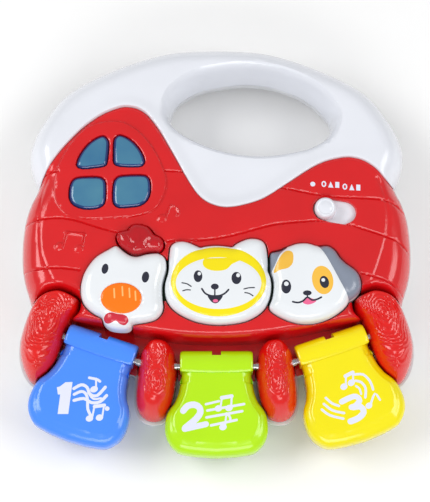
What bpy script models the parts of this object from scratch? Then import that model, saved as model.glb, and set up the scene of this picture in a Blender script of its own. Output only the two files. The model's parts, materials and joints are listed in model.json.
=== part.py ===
"""Toy electronic keyboard in the shape of a barn, lying on its back.

Frame: +Z up, out of the face; +Y towards the carrying handle; the keys point to -Y.
The origin is under the middle of the outline, on the plane the rubber feet rest on.
"""
import math

import bmesh
import bpy
import numpy as np
from mathutils import Matrix, Vector
from mathutils.geometry import delaunay_2d_cdt

# ---------------------------------------------------------------- driving dimensions (mm)
MM = 0.001
GAP = 0.3                 # clearance between pieces that touch in the real toy
PART_Z = 14.0             # height of the parting line
FLOOR_Z = 2.0             # outside of the back casing
WALL = 2.2                # moulded wall thickness
FACE_Z = 33.5             # edge of the red face
CROWN = 2.5               # extra height in the middle of the face
SHELF_Z = 15.6            # top of the sunken shelf behind the keys
ROD_Z = 22.5              # height of the three key pins
ROD_R = 2.0
BORE_R = 2.09
KEY_ANGLE = 19.0          # how far the two side keys are splayed
SIDE_KEY = (56.3, -53.9)  # hinge centre of the right key
MID_KEY = (0.0, -62.4)
TRAY = 5.6                # tray edge, measured from the hinge axis
BOARD_Z = 22.5            # underside of the main board
BUTTON_TOP = 40.6
SWITCH_FROM = (53.6, 14.2)
SWITCH_ANGLE = -9.5
SWITCH_RUN = 9.4

# outline of the casing, right half, from the top of the handle down
ROOF_R = [(0, 105.9), (13, 105.5), (24, 104.4), (34.5, 101.8), (45, 98.2), (55, 93.9), (65, 88.9),
          (74, 83.3), (81.2, 76.6), (86.6, 68.7), (91.3, 60.5), (94.2, 52.4), (95, 46.6), (94, 40.2),
          (91.5, 33.5), (90, 30)]
SIDE_R = [(91.2, 26.5), (93.5, 21.5), (95.8, 13.5), (96.9, 4), (97, -5.5), (96.4, -13.5),
          (94.9, -20.5), (92.9, -26.5), (91.6, -31)]
LOBES_R = [(93, -35.5), (95.4, -41.5), (96.9, -48), (97, -55), (95.8, -61.5), (93.2, -67), (89.6, -70.8),
           (86, -71.6), (81.5, -69), (78, -62), (76.1, -53), (39.7, -65.5), (40, -70), (40.1, -77),
           (39.5, -82.4), (37.4, -86.5), (33.7, -89), (29.4, -89.5), (25, -87.9), (21.8, -84),
           (19.9, -78.5), (18.8, -72), (18.4, -68), (9, -68)]
# line where the white roof meets the red face, left to right
EAVES = [(-87, 31.5), (-82.8, 38.3), (-78.1, 45.3), (-72.3, 52.3), (-66, 58.8), (-58.6, 64.5),
         (-52.6, 67.5), (-47.6, 69.1), (-43.6, 69.1), (-39.5, 68), (-35.5, 65.3), (-31.9, 60.9),
         (-28.3, 55.5), (-24.2, 48), (-20.2, 40.5), (-16.6, 33.5), (-13.1, 27.2), (-9.6, 21.9),
         (-5.7, 18.2), (-1.2, 15.9), (3.7, 14.8), (9.1, 15.1), (15.5, 16.6), (21.5, 18.7), (26.4, 21.4),
         (32.4, 25.6), (38.4, 29.8), (44.5, 34.1), (50.5, 37.8), (56.5, 40.2), (64, 41.8), (69, 41.5),
         (73.9, 39.9), (78.8, 36.5), (83, 32.2), (87, 29.3)]
# bottom of the red face wall, right half
FOOT_R = [(86, -34.5), (76, -38.6), (65, -41.2), (54, -43.2), (41, -46), (27.5, -48.4), (14, -49.9)]
# opening of the carrying handle
GRIP = [(-23.5, 70.5), (-20, 78.5), (-10.5, 85), (0, 88), (14.8, 89.8), (28, 88.3), (38, 85),
        (48, 79.5), (56.2, 70.8), (58.5, 64), (55.5, 55.6), (47.5, 50.2), (39.7, 47.9), (29.5, 46.1),
        (19.4, 45.7), (9.3, 46.9), (-0.8, 49.5), (-9.9, 53.3), (-17.7, 58), (-22.6, 63.5)]
LEG_IN = [(32.3, -50.2), (37.1, -55.7), (38, -62.1), (38.8, -69.6), (39.2, -76.9), (38.6, -81.8),
          (36.7, -85.3), (33.3, -87.7), (29.4, -88.2), (25.6, -86.7), (22.8, -83.3), (20.9, -78.4),
          (19.5, -69.6), (19.1, -62.1), (20.1, -55.7), (22.6, -51.7), (26.5, -49.7)]
LEG_OUT = [(75.2, -25.5), (81.2, -25.8), (86.2, -28.3), (90.4, -33.4), (93.4, -39), (95.4, -45.1),
           (96.3, -51.7), (95.7, -57.7), (93.9, -63.2), (91.1, -68.1), (87.7, -70.1), (83.9, -69.1),
           (80.6, -65.1), (77.9, -60.2), (75.6, -54.2), (73.8, -49.1), (72.5, -44.1), (70.2, -40.1),
           (67.3, -37), (66.5, -32.9), (67.5, -29.4)]
PANES = {
    "tl": [(-69.7, 37.5), (-67.9, 43.4), (-64.1, 48.8), (-60.1, 52), (-56.7, 53.1), (-54.6, 51.4),
           (-53.8, 48.2), (-54.4, 39.1), (-55.8, 36.7), (-60.2, 35.9), (-66.7, 35.4)],
    "tr": [(-51.4, 49.8), (-50.7, 52.2), (-48.7, 53.6), (-45.2, 52.5), (-41.1, 49.3), (-37.6, 44.5),
           (-35.8, 39.7), (-36.5, 37.3), (-38.9, 36.2), (-47.9, 36.5), (-50.9, 38.1), (-51.4, 41.8)],
    "bl": [(-72.6, 22), (-72.3, 28.8), (-70.6, 30.6), (-56.4, 30.8), (-54.6, 29.2), (-54.6, 16),
           (-56.4, 14.3), (-65.5, 14.1), (-70.4, 16.2)],
    "br": [(-51, 16), (-51, 29.6), (-49.3, 31.5), (-34.6, 31.8), (-32.7, 29.9), (-32.6, 22.5),
           (-34.8, 17.5), (-39.6, 15.1), (-49.2, 14.4)],
}
CHICKEN = [(-48.8, -5.4), (-52.8, -7.3), (-58.1, -10.6), (-61.6, -14.6), (-64.3, -19.6), (-65.6, -25),
           (-65.6, -29.8), (-64.6, -33.4), (-62.3, -36.7), (-58.8, -39.4), (-55.3, -41.2), (-54.2, -44),
           (-51.6, -46.4), (-47.5, -47.4), (-43, -47.4), (-40.9, -46), (-40.2, -44.4), (-34.3, -43.7),
           (-29.5, -42.3), (-26.8, -39.7), (-25.7, -36.6), (-26, -33), (-26.3, -28.2), (-26.1, -24.1),
           (-25, -19.8), (-24.4, -17), (-24.5, -13.5), (-25.6, -11), (-27.8, -9.5), (-29.9, -9.2),
           (-34.2, -9.7), (-38.6, -10.9), (-41.9, -10.3), (-45.2, -8.2)]
COMB = [(-48.9, -1.3), (-48, 1.2), (-45.6, 2), (-43.6, 2.3), (-42.2, 4.3), (-40.3, 5.4), (-37.4, 5.4),
        (-33.9, 4.3), (-31.9, 2.3), (-30.4, 0.2), (-27.5, -1.3), (-26, -3.4), (-25.9, -6.3),
        (-27.6, -8.5), (-29.9, -8.3), (-34.2, -8.8), (-38.5, -9.9), (-41.5, -9.4), (-44.6, -7.3),
        (-47.6, -4.7)]
CAT = [(-0.7, -5.3), (4.6, -5.6), (7.6, -6), (9.5, -4.5), (12.9, -2.7), (16.3, -1.7), (20.3, -2),
       (22.9, -3.4), (24.2, -6), (24.8, -10.4), (25, -15), (24.9, -18.1), (26, -21.1), (26.6, -25.6),
       (26, -30.7), (24.5, -34.7), (22.5, -37.8), (18.9, -40.7), (13.6, -43.2), (6.5, -44.5),
       (-0.7, -44.8), (-7.9, -43.8), (-13.7, -41.8), (-19, -38.8), (-22.3, -35.7), (-24.2, -32.2),
       (-25, -28.2), (-24.8, -24.1), (-23.7, -20), (-23.2, -17), (-23.2, -13.5), (-22.9, -8.9),
       (-22.4, -5.8), (-20.5, -3.9), (-17.3, -3.1), (-13.9, -3.6), (-10, -5.3), (-7.8, -6.3),
       (-5.6, -5.8)]
DOG = [(26.3, -9.2), (28.5, -8.3), (31.4, -7.6), (34.3, -6.1), (38.3, -4.5), (42.2, -4), (45.6, -4.3),
       (49.5, -5.5), (53.4, -5.1), (55.8, -5.8), (58.2, -7.9), (60, -10.9), (62.9, -14), (66.7, -16.8),
       (69, -19.6), (70.1, -23.1), (70, -26.7), (68.2, -29.7), (65.8, -31.7), (64.1, -32.9),
       (62.8, -35.2), (59.8, -38.2), (55.4, -40.9), (50.6, -42.7), (44.8, -43.9), (39.1, -43.9),
       (34.3, -42.7), (29.5, -40.4), (26.2, -38), (25.5, -35.8), (26.8, -32.3), (27.5, -28.2),
       (27.7, -24.1), (27.1, -20.6), (26.2, -18), (26, -13)]
KEY_HALF = [(17.4, -7.8), (17.9, -10.5), (18.6, -13.7), (20.3, -17.7), (22.7, -21.1), (24.2, -24.5),
            (24.8, -29), (24.5, -33), (23, -36.7), (20, -40.1), (16.7, -41.8), (9.6, -43)]
KEY_TIP = -43.6
SIDE_KEY_STRETCH = 1.07

CASE_SCREWS = [(-84, -2), (84, -2), (-14, -45.4), (14, -45.4), (-79, 58), (79, 58), (5, 39.4), (5, 97.4)]
LEG_SCREWS = {"inner_left": (-29.4, -73), "inner_right": (29.4, -73),
              "outer_left": (-87.5, -56), "outer_right": (87.5, -56)}
FEET = [(-70, 62), (70, 62), (-62, -44), (62, -44)]
SPEAKER = (-56.0, 4.0)

for old in list(bpy.data.objects):
    bpy.data.objects.remove(old, do_unlink=True)


# ---------------------------------------------------------------- outlines
def mirror(pts):
    return [(-x, y) for x, y in pts]


def both(right):
    """Closed outline from its right half, listed from +Y round to -Y."""
    left = mirror([p for p in right if p[0] > 0.01])
    return right + left[::-1]


def smooth(pts, n=2, closed=True):
    """Points along a Catmull-Rom curve through the given ones."""
    out, m = [], len(pts)
    for i in range(m if closed else m - 1):
        a, b, c, d = (pts[(i + k) % m] if closed else pts[min(max(i + k, 0), m - 1)] for k in (-1, 0, 1, 2))
        for j in range(n):
            t = j / n
            out.append(tuple(0.5 * (2 * b[k] + (c[k] - a[k]) * t + (2 * a[k] - 5 * b[k] + 4 * c[k] - d[k]) * t * t
                                    + (3 * b[k] - a[k] - 3 * c[k] + d[k]) * t ** 3) for k in (0, 1)))
    if not closed:
        out.append(tuple(pts[-1]))
    return out


def area(poly):
    return 0.5 * sum(poly[i - 1][0] * poly[i][1] - poly[i][0] * poly[i - 1][1] for i in range(len(poly)))


def ccw(poly):
    return list(poly) if area(poly) > 0 else list(poly)[::-1]


def reach(points, line, closed=True):
    """Distance from each point to a polyline."""
    p = np.asarray(points, float).reshape(-1, 2)
    a = np.asarray(line, float)
    b = np.roll(a, -1, axis=0)
    if not closed:
        a, b = a[:-1], b[:-1]
    ab = b - a
    t = np.einsum("nmk,mk->nm", p[:, None] - a[None], ab) / np.maximum((ab ** 2).sum(1), 1e-9)
    near = a[None] + np.clip(t, 0, 1)[..., None] * ab[None]
    return np.sqrt(((p[:, None] - near) ** 2).sum(-1)).min(1)


def within(points, poly):
    p = np.asarray(points, float).reshape(-1, 2)
    inside = np.zeros(len(p), bool)
    for (x0, y0), (x1, y1) in zip(poly, poly[1:] + poly[:1]):
        if y0 == y1:
            continue
        hit = ((y0 > p[:, 1]) != (y1 > p[:, 1])) & (p[:, 0] < (x1 - x0) * (p[:, 1] - y0) / (y1 - y0) + x0)
        inside ^= hit
    return inside


def offset(poly, d):
    """Outline moved outwards by d (inwards when negative), without the points that fold over."""
    poly = ccw(poly)
    m, out = len(poly), []
    for i, (x, y) in enumerate(poly):
        (x0, y0), (x1, y1) = poly[i - 1], poly[(i + 1) % m]
        r0, r1 = math.hypot(x - x0, y - y0), math.hypot(x1 - x, y1 - y)
        nx, ny = (y - y0) / r0, (x0 - x) / r0
        mx, my = (y1 - y) / r1, (x - x1) / r1
        k = d / max(1 + nx * mx + ny * my, 0.5)
        out.append((x + k * (nx + mx), y + k * (ny + my)))
    ok = reach(out, poly) > 0.985 * abs(d) - 1e-6
    return [q for q, k in zip(out, ok) if k]


def shift(line, d):
    """Open line moved to its left by d."""
    out = []
    for i, (x, y) in enumerate(line):
        (x0, y0), (x1, y1) = line[max(i - 1, 0)], line[min(i + 1, len(line) - 1)]
        r = math.hypot(x1 - x0, y1 - y0)
        out.append((x - d * (y1 - y0) / r, y + d * (x1 - x0) / r))
    return out


def ell(t):
    """Quarter ellipse: 0 at t = 0, 1 from t = 1 on."""
    t = np.clip(t, 0, 1)
    return np.sqrt(1 - (1 - t) ** 2)


def split_long(poly, step):
    """Closed outline with no edge longer than step."""
    out = []
    for (x0, y0), (x1, y1) in zip(poly, poly[1:] + poly[:1]):
        k = max(1, math.ceil(math.hypot(x1 - x0, y1 - y0) / step))
        out += [(x0 + (x1 - x0) * i / k, y0 + (y1 - y0) * i / k) for i in range(k)]
    return out


def stadium(p0, p1, r, n=8):
    a = math.atan2(p1[1] - p0[1], p1[0] - p0[0])
    pts = [(p1[0] + r * math.cos(a + t), p1[1] + r * math.sin(a + t)) for t in np.linspace(-math.pi / 2, math.pi / 2, n)]
    pts += [(p0[0] + r * math.cos(a + t), p0[1] + r * math.sin(a + t))
            for t in np.linspace(math.pi / 2, 1.5 * math.pi, n)]
    return pts


# ---------------------------------------------------------------- solids
def new_object(name, verts, faces, material=None):
    mesh = bpy.data.meshes.new(name)
    mesh.from_pydata([(x * MM, y * MM, z * MM) for x, y, z in verts], [], faces)
    mesh.update()
    obj = bpy.data.objects.new(name, mesh)
    bpy.context.collection.objects.link(obj)
    if material:
        mesh.materials.append(material)
    return obj


def triangulate(loops, inner):
    """Triangles of the region inside loops[0] and outside the other loops."""
    pts, edges = [], []
    for loop in loops:
        k = len(pts)
        pts += loop
        edges += [(k + i, k + (i + 1) % len(loop)) for i in range(len(loop))]
    pts = pts + list(inner)
    vs, _, faces, *_ = delaunay_2d_cdt([Vector(p) for p in pts], edges, [], 0, 1e-3)
    mid = [tuple(sum((vs[i] for i in f), Vector((0, 0))) / 3) for f in faces]
    keep = within(mid, loops[0])
    for hole in loops[1:]:
        keep &= ~within(mid, hole)
    return [tuple(v) for v in vs], [tuple(f) for f, k in zip(faces, keep) if k]


def region_points(loops, rings, spacing):
    """Points inside the region: offset rings along its edges, then a triangular grid."""
    found = []
    for d in rings:
        for k, loop in enumerate(loops):
            found += offset(loop, -d if k == 0 else d)
    lo, hi = np.min(loops[0], axis=0), np.max(loops[0], axis=0)
    deep = (rings[-1] if rings else 0) + 0.45 * spacing
    grid, row, y = [], 0, lo[1]
    while y < hi[1]:
        x = lo[0] + (spacing / 2 if row % 2 else 0)
        while x < hi[0]:
            grid.append((x, y))
            x += spacing
        y += spacing * 0.866
        row += 1
    keep = np.ones(len(found), bool)
    if found:
        keep &= within(found, loops[0])
        for loop in loops:
            keep &= reach(found, loop) > 0.9 * rings[0]
        for hole in loops[1:]:
            keep &= ~within(found, hole)
    found = [p for p, k in zip(found, keep) if k]
    thin = []
    for p in found:
        if all(abs(p[0] - q[0]) + abs(p[1] - q[1]) > 0.5 for q in thin[-60:]):
            thin.append(p)
    if grid:
        g = within(grid, loops[0])
        for loop in loops:
            g &= reach(grid, loop) > deep
        for hole in loops[1:]:
            g &= ~within(grid, hole)
        thin += [p for p, k in zip(grid, g) if k]
    return thin


def pillow(name, outline, top, bottom, rings=(), spacing=9.0, holes=(), material=None):
    """Solid over a plane region whose top and bottom heights are numbers or functions of the plan."""
    loops = [ccw(outline)] + [ccw(h) for h in holes]
    if rings:
        loops = [split_long(loop, 12) for loop in loops]
    inner = region_points(loops, list(rings), spacing) if rings else []
    verts, faces = [], []
    border = {}
    for side, level in ((1, top), (-1, bottom)):
        flat = not callable(level)
        vs, fs = triangulate(loops, [] if flat else inner)
        z = np.full(len(vs), float(level)) if flat else level(np.array(vs))
        base = len(verts)
        verts += [(v[0], v[1], float(h)) for v, h in zip(vs, z)]
        count = {}
        for f in fs:
            for a, b in zip(f, f[1:] + f[:1]):
                count[(a, b)] = True
        for f in fs:
            faces.append(tuple(base + i for i in (f if side > 0 else f[::-1])))
        ring = [(a, b) for a, b in count if (b, a) not in count]
        border[side] = (base, vs, ring)
    key = {(round(v[0], 2), round(v[1], 2)): i for i, v in enumerate(border[-1][1])}
    tb, tv, ring = border[1]
    bb = border[-1][0]
    for a, b in ring:
        la = key[(round(tv[a][0], 2), round(tv[a][1], 2))]
        lb = key[(round(tv[b][0], 2), round(tv[b][1], 2))]
        faces.append((tb + b, tb + a, bb + la, bb + lb))
    obj = new_object(name, verts, faces, material)
    bm = bmesh.new()
    bm.from_mesh(obj.data)
    loose = [v for v in bm.verts if not v.link_faces]
    bmesh.ops.delete(bm, geom=loose, context="VERTS")
    bmesh.ops.recalc_face_normals(bm, faces=bm.faces)
    bm.to_mesh(obj.data)
    bm.free()
    return obj


def prism(outline, z0, z1, name="tool", material=None, holes=()):
    return pillow(name, outline, z1, z0, holes=holes, material=material)


def rod(name, p0, p1, r, n=24, r2=None, material=None):
    """Round bar between two points; r2 gives the far end another radius."""
    a, b = Vector(p0), Vector(p1)
    axis = (b - a).normalized()
    u = axis.orthogonal().normalized()
    w = axis.cross(u)
    verts = []
    for c, q in ((a, r), (b, r if r2 is None else r2)):
        verts += [tuple(c + q * (math.cos(t) * u + math.sin(t) * w))
                  for t in (2 * math.pi * i / n for i in range(n))]
    faces = [(i, (i + 1) % n, n + (i + 1) % n, n + i) for i in range(n)]
    faces += [tuple(range(n))[::-1], tuple(range(n, 2 * n))]
    return new_object(name, verts, faces, material)


def block(name, lo, hi, material=None):
    (x0, y0, z0), (x1, y1, z1) = lo, hi
    v = [(x, y, z) for x in (x0, x1) for y in (y0, y1) for z in (z0, z1)]
    f = [(0, 1, 3, 2), (4, 6, 7, 5), (0, 4, 5, 1), (2, 3, 7, 6), (0, 2, 6, 4), (1, 5, 7, 3)]
    return new_object(name, v, f, material)


def turned(name, profile, centre, n=24, material=None):
    """Solid of revolution about a vertical axis; profile is (radius, z) from bottom axis to top axis."""
    verts, faces, rows = [], [], []
    for r, z in profile:
        if r < 1e-6:
            rows.append([len(verts)])
            verts.append((centre[0], centre[1], z))
        else:
            rows.append(list(range(len(verts), len(verts) + n)))
            verts += [(centre[0] + r * math.cos(2 * math.pi * i / n), centre[1] + r * math.sin(2 * math.pi * i / n), z)
                      for i in range(n)]
    for a, b in zip(rows, rows[1:]):
        for i in range(n):
            j = (i + 1) % n
            if len(a) == 1:
                faces.append((a[0], b[j], b[i]))
            elif len(b) == 1:
                faces.append((a[i], a[j], b[0]))
            else:
                faces.append((a[i], a[j], b[j], b[i]))
    return new_object(name, verts, faces, material)


def combine(obj, others, operation):
    for other in others:
        mod = obj.modifiers.new("join", "BOOLEAN")
        mod.operation, mod.object, mod.solver = operation, other, "EXACT"
        graph = bpy.context.evaluated_depsgraph_get()
        result = bpy.data.meshes.new_from_object(obj.evaluated_get(graph))
        obj.modifiers.remove(mod)
        obj.data = result
        bpy.data.objects.remove(other, do_unlink=True)


def cut(obj, *others):
    combine(obj, others, "DIFFERENCE")


def fuse(obj, *others):
    combine(obj, others, "UNION")


def trim_scraps(bm):
    """Delete the small loose scraps that a cut leaves beside the body."""
    seen, groups = set(), []
    for start in bm.faces:
        if start in seen:
            continue
        group, stack = [], [start]
        seen.add(start)
        while stack:
            face = stack.pop()
            group.append(face)
            for edge in face.edges:
                for other in edge.link_faces:
                    if other not in seen:
                        seen.add(other)
                        stack.append(other)
        groups.append(group)
    groups.sort(key=lambda g: -sum(f.calc_area() for f in g))
    for group in groups[1:]:
        bmesh.ops.delete(bm, geom=group, context="FACES")


def tidy(obj, angle=35):
    """Merge slivers left by the cuts and shade by angle."""
    bm = bmesh.new()
    bm.from_mesh(obj.data)
    bmesh.ops.remove_doubles(bm, verts=bm.verts, dist=0.00001)
    bmesh.ops.dissolve_degenerate(bm, edges=bm.edges, dist=0.00001)
    trim_scraps(bm)
    bm.to_mesh(obj.data)
    bm.free()
    obj.data.shade_smooth()
    obj.data.set_sharp_from_angle(angle=math.radians(angle))


def place(obj, xyz, turn=0.0):
    """Put the object's origin at xyz, turned about Z, without moving its surface."""
    m = Matrix.Translation([c * MM for c in xyz]) @ Matrix.Rotation(math.radians(turn), 4, "Z")
    obj.data.transform(m.inverted())
    obj.matrix_world = m


def paint(name, rgb, rough, metal=0.0, alpha=1.0):
    mat = bpy.data.materials.new(name)
    mat.use_nodes = True
    shader = mat.node_tree.nodes["Principled BSDF"]
    shader.inputs["Base Color"].default_value = (*rgb, 1)
    shader.inputs["Roughness"].default_value = rough
    shader.inputs["Metallic"].default_value = metal
    shader.inputs["Alpha"].default_value = alpha
    return mat


RED = paint("casing_red", (0.72, 0.02, 0.02), 0.25)
LEG_RED = paint("leg_red", (0.78, 0.02, 0.01), 0.3)
WHITE = paint("roof_white", (0.79, 0.81, 0.86), 0.25)
BACK = paint("back_white", (0.75, 0.76, 0.78), 0.35)
CAP = paint("button_white", (0.82, 0.84, 0.86), 0.25)
BLUE_LENS = paint("lens_blue", (0.05, 0.19, 0.36), 0.1, alpha=0.8)
COMB_RED = paint("comb_red", (0.4, 0.0, 0.01), 0.1, alpha=0.8)
BLUE = paint("key_blue", (0.08, 0.32, 1.0), 0.25)
GREEN = paint("key_green", (0.45, 0.9, 0.01), 0.25)
YELLOW = paint("key_yellow", (0.95, 0.84, 0.0), 0.25)
STEEL = paint("steel", (0.6, 0.6, 0.62), 0.25, metal=1.0)
RUBBER = paint("rubber_grey", (0.25, 0.25, 0.26), 0.8)
BLACK = paint("black_plastic", (0.02, 0.02, 0.02), 0.5)
BOARD = paint("board_green", (0.02, 0.18, 0.07), 0.5)
PAPER = paint("cone_black", (0.03, 0.03, 0.03), 0.9)
CELL = paint("cell_wrap", (0.05, 0.2, 0.12), 0.35)
LED = paint("led_clear", (0.8, 0.3, 0.2), 0.1, alpha=0.6)

# ---------------------------------------------------------------- shared outlines
CASE = ccw(both(ROOF_R + SIDE_R + LOBES_R))
GRIP_LOOP = smooth(GRIP, 1)
EAVES_LINE = smooth(EAVES, 1, closed=False)
RIGHT_SIDE = [(90, 30)] + SIDE_R
LEFT_SIDE = mirror(RIGHT_SIDE)
FACE_FOOT = FOOT_R + [(0, -50.4)] + mirror(FOOT_R)[::-1]
FACE = ccw(EAVES_LINE + [(89.4, 28.6)] + RIGHT_SIDE[1:] + FACE_FOOT + LEFT_SIDE[::-1][:-1] + [(-89.4, 30)])
ROOF_OUT = smooth(ROOF_R, 1, closed=False)
ROOF_LOOP = ccw(mirror(ROOF_OUT)[::-1][:-1] + ROOF_OUT + shift(EAVES_LINE, GAP)[::-1])
SHELF_R = [(86, -30), (84, -45), (76.1, -53), (39.7, -65.5), (29.5, -60), (18.8, -68)]
SHELF = ccw(both([(0, -30)] + SHELF_R))


def shrink(poly, d):
    return offset(poly, -d)


def face_height(p, drop=0.0, shift=0.0):
    side = np.minimum(reach(p, RIGHT_SIDE, False), reach(p, LEFT_SIDE, False)) - shift
    crown = CROWN * np.maximum(0, 1 - (p[:, 0] / 86) ** 2) * np.maximum(0, 1 - ((p[:, 1] + 2) / 62) ** 2)
    z = PART_Z + 1 + (FACE_Z - PART_Z - 1) * ell(side / 12) + crown
    low = reach(p, FACE_FOOT, False) - shift
    return np.minimum(z, 30 + (z - 30) * ell(low / 3.5)) - drop


def roof_height(p, drop=0.0, shift=0.0):
    out = reach(p, ROOF_OUT + mirror(ROOF_OUT)[::-1], True) - shift
    hole = reach(p, GRIP_LOOP) - shift
    z = PART_Z + 1 + 19.6 * ell(out / 13)
    z = np.minimum(z, PART_Z + 3 + 17.6 * ell(hole / 9))
    return z - drop


def back_height(p, lift=0.0, shift=0.0):
    out = reach(p, CASE) - shift
    hole = reach(p, GRIP_LOOP) - shift
    depth = (PART_Z - 1 - FLOOR_Z) * ell(np.minimum(out, hole) / 6)
    handle = 1.6 * np.clip((p[:, 1] - 78) / 12, 0, 1)
    return PART_Z - 1 - depth + handle + lift


def key_outline(stretch, grow=0.0, top=None):
    half = [(x + grow, (y * stretch if y < -10 else y) - (grow if y < -36 else 0)) for x, y in KEY_HALF]
    if top is not None:
        half[0] = (half[0][0], top)
    return half + [(0, KEY_TIP * stretch - grow)] + mirror(half)[::-1]


def to_world(pts, centre, turn):
    c, s = math.cos(math.radians(turn)), math.sin(math.radians(turn))
    return [(centre[0] + x * c - y * s, centre[1] + x * s + y * c) for x, y in pts]


KEYS = {
    "blue": ((-SIDE_KEY[0], SIDE_KEY[1]), -KEY_ANGLE, SIDE_KEY_STRETCH, BLUE),
    "green": (MID_KEY, 0.0, 1.0, GREEN),
    "yellow": (SIDE_KEY, KEY_ANGLE, SIDE_KEY_STRETCH, YELLOW),
}
LEGS = {
    "inner_left": mirror(smooth(LEG_IN, 1)), "inner_right": smooth(LEG_IN, 1),
    "outer_left": mirror(smooth(LEG_OUT, 1)), "outer_right": smooth(LEG_OUT, 1),
}


def key_room():
    """Space that each key needs beside and below its tray."""
    tools = []
    for centre, turn, stretch, _ in KEYS.values():
        tools.append(prism(to_world(key_outline(stretch, 1.0, -6.7), centre, turn), -4, 60))
    return tools


# ---------------------------------------------------------------- front casing
front = pillow("front_casing", FACE, face_height, PART_Z, rings=(0.8, 3, 8), spacing=16,
               material=RED)
core = shrink(FACE, WALL)
cut(front, pillow("tool", core, lambda p: face_height(p, WALL, WALL), PART_Z - 2, rings=(3, 8),
                  spacing=22))
shelf = prism(SHELF, PART_Z, SHELF_Z)
cut(shelf, prism(shrink(FACE, 1.2), PART_Z - 3, SHELF_Z + 3))
fuse(front, shelf)
for x, y in CASE_SCREWS[:4]:
    fuse(front, rod("boss", (x, y, PART_Z + 0.2), (x, y, 32.5), 3.2, 10))
for leg in LEGS.values():
    cut(front, prism(offset(leg, GAP + 0.1), PART_Z - 2, 60))
for centre, turn, stretch, _ in KEYS.values():
    cut(front, prism(to_world([(-5.2, -3), (5.2, -3), (5.2, 4.4), (-5.2, 4.4)], centre, turn), 10, 20))
for pane in PANES.values():
    cut(front, prism(offset(pane, 0.35), 20, 50))
for loop in (CHICKEN, COMB, CAT, DOG):
    cut(front, prism(offset(loop, 0.65), 20, 50))
cut(front, prism([(-28, -37), (-22, -37), (-22, -8), (-28, -8)], 20, 50),
    prism([(24, -37), (29, -37), (29, -9), (24, -9)], 20, 50))
along = (math.cos(math.radians(SWITCH_ANGLE)), math.sin(math.radians(SWITCH_ANGLE)))
SLOT_END = (SWITCH_FROM[0] + SWITCH_RUN * along[0], SWITCH_FROM[1] + SWITCH_RUN * along[1])
cut(front, prism(stadium(SWITCH_FROM, SLOT_END, 5.9), 20, 50))
pocket = [(SWITCH_FROM[0] + u * along[0] - v * along[1], SWITCH_FROM[1] + u * along[1] + v * along[0])
          for u, v in ((-15.8, -7.8), (25, -7.8), (25, 7.8), (-15.8, 7.8))]
cut(front, prism(pocket, 24, 32.5))
cut(front, block("tool", (-36, -6, 8), (36, 38, 22.6)))
for x, y in CASE_SCREWS[:4]:
    cut(front, rod("tool", (x, y, PART_Z - 2), (x, y, 26), 1.6, 8))
tidy(front)

# ---------------------------------------------------------------- roof cover with the handle's front half
roof = pillow("roof_cover", ROOF_LOOP, roof_height, PART_Z, rings=(0.8, 3, 7),
              spacing=16, holes=[GRIP_LOOP], material=WHITE)
roof_core = shrink(ROOF_LOOP, 2.6)
cut(roof, pillow("tool", roof_core, lambda p: roof_height(p, 2.4, 2.6), PART_Z - 2, rings=(3,),
                 spacing=24, holes=[offset(GRIP_LOOP, 2.6)]))
for x, y in CASE_SCREWS[4:]:
    fuse(roof, rod("boss", (x, y, PART_Z + 0.2), (x, y, 30), 3.2, 10))
    cut(roof, rod("tool", (x, y, PART_Z - 2), (x, y, 26), 1.6, 8))
cut(roof, block("tool", (-36, -6, 8), (36, 38, 22.6)))
tidy(roof)

# ---------------------------------------------------------------- back casing
back = pillow("back_casing", CASE, PART_Z - GAP, back_height, rings=(1.2, 3.4, 7), spacing=22,
              holes=[GRIP_LOOP], material=BACK)
hollow = ccw(both(ROOF_R + SIDE_R + [(86, -36), (78, -44), (74.1, -53.4), (42, -64.6), (38, -50), (19, -49.5),
                                    (17.5, -67.8)]))
cut(back, pillow("tool", shrink(hollow, 2.6), PART_Z + 5, lambda p: back_height(p, 2.4, 2.2), rings=(1, 4.6),
                 spacing=22, holes=[offset(GRIP_LOOP, 2.6)]))
fuse(back, block("wall", (-34, -3, 2.4), (34, 35, 21.6)), block("wall", (30, 9, 2.4), (42, 23, 12)))
cut(back, block("tool", (-29, 1, 3), (29, 31, 19.7)), block("tool", (-31.4, -1.2, 0), (31.4, 33.2, 4.3)),
    block("tool", (31, 11.6, 0), (39.4, 20.4, 4.3)), rod("tool", (35.2, 16, 3), (35.2, 16, 10), 1.6, 12))
for x, y in CASE_SCREWS:
    fuse(back, rod("post", (x, y, 3.2), (x, y, PART_Z - GAP), 4.4, 10))
for x, y in ((-50, -35), (50, -35), (-30, -9), (61, -9)):
    fuse(back, rod("post", (x, y, 3.2), (x, y, BOARD_Z - GAP), 2.2, 8))
fuse(back, rod("post", (66, 13, 3.2), (66, 13, 21.7), 2.2, 8), rod("post", (50, 16, 3.2), (50, 16, 21.7), 2.2, 8),
     rod("post", (-54, 44, 3.2), (-54, 44, 19.7), 2.2, 8), rod("post", (-54, 30, 3.2), (-54, 30, 19.7), 2.2, 8))
for x, y in list(CASE_SCREWS) + list(LEG_SCREWS.values()):
    cut(back, rod("tool", (x, y, 0), (x, y, 5.6), 3.3, 12), rod("tool", (x, y, 4), (x, y, 20), 1.6, 8))
for x, y in FEET:
    cut(back, rod("tool", (x, y, 0), (x, y, 2.8), 5.3, 20))
grille = [(0.0, 0.0)] + [(6 * math.cos(i * math.pi / 3), 6 * math.sin(i * math.pi / 3)) for i in range(6)]
grille += [(12 * math.cos(i * math.pi / 4), 12 * math.sin(i * math.pi / 4)) for i in range(8)]
for dx, dy in grille:
    cut(back, rod("tool", (SPEAKER[0] + dx, SPEAKER[1] + dy, 0), (SPEAKER[0] + dx, SPEAKER[1] + dy, 6), 1.5, 6))
for tool in key_room():
    cut(back, tool)
tidy(back)

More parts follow.
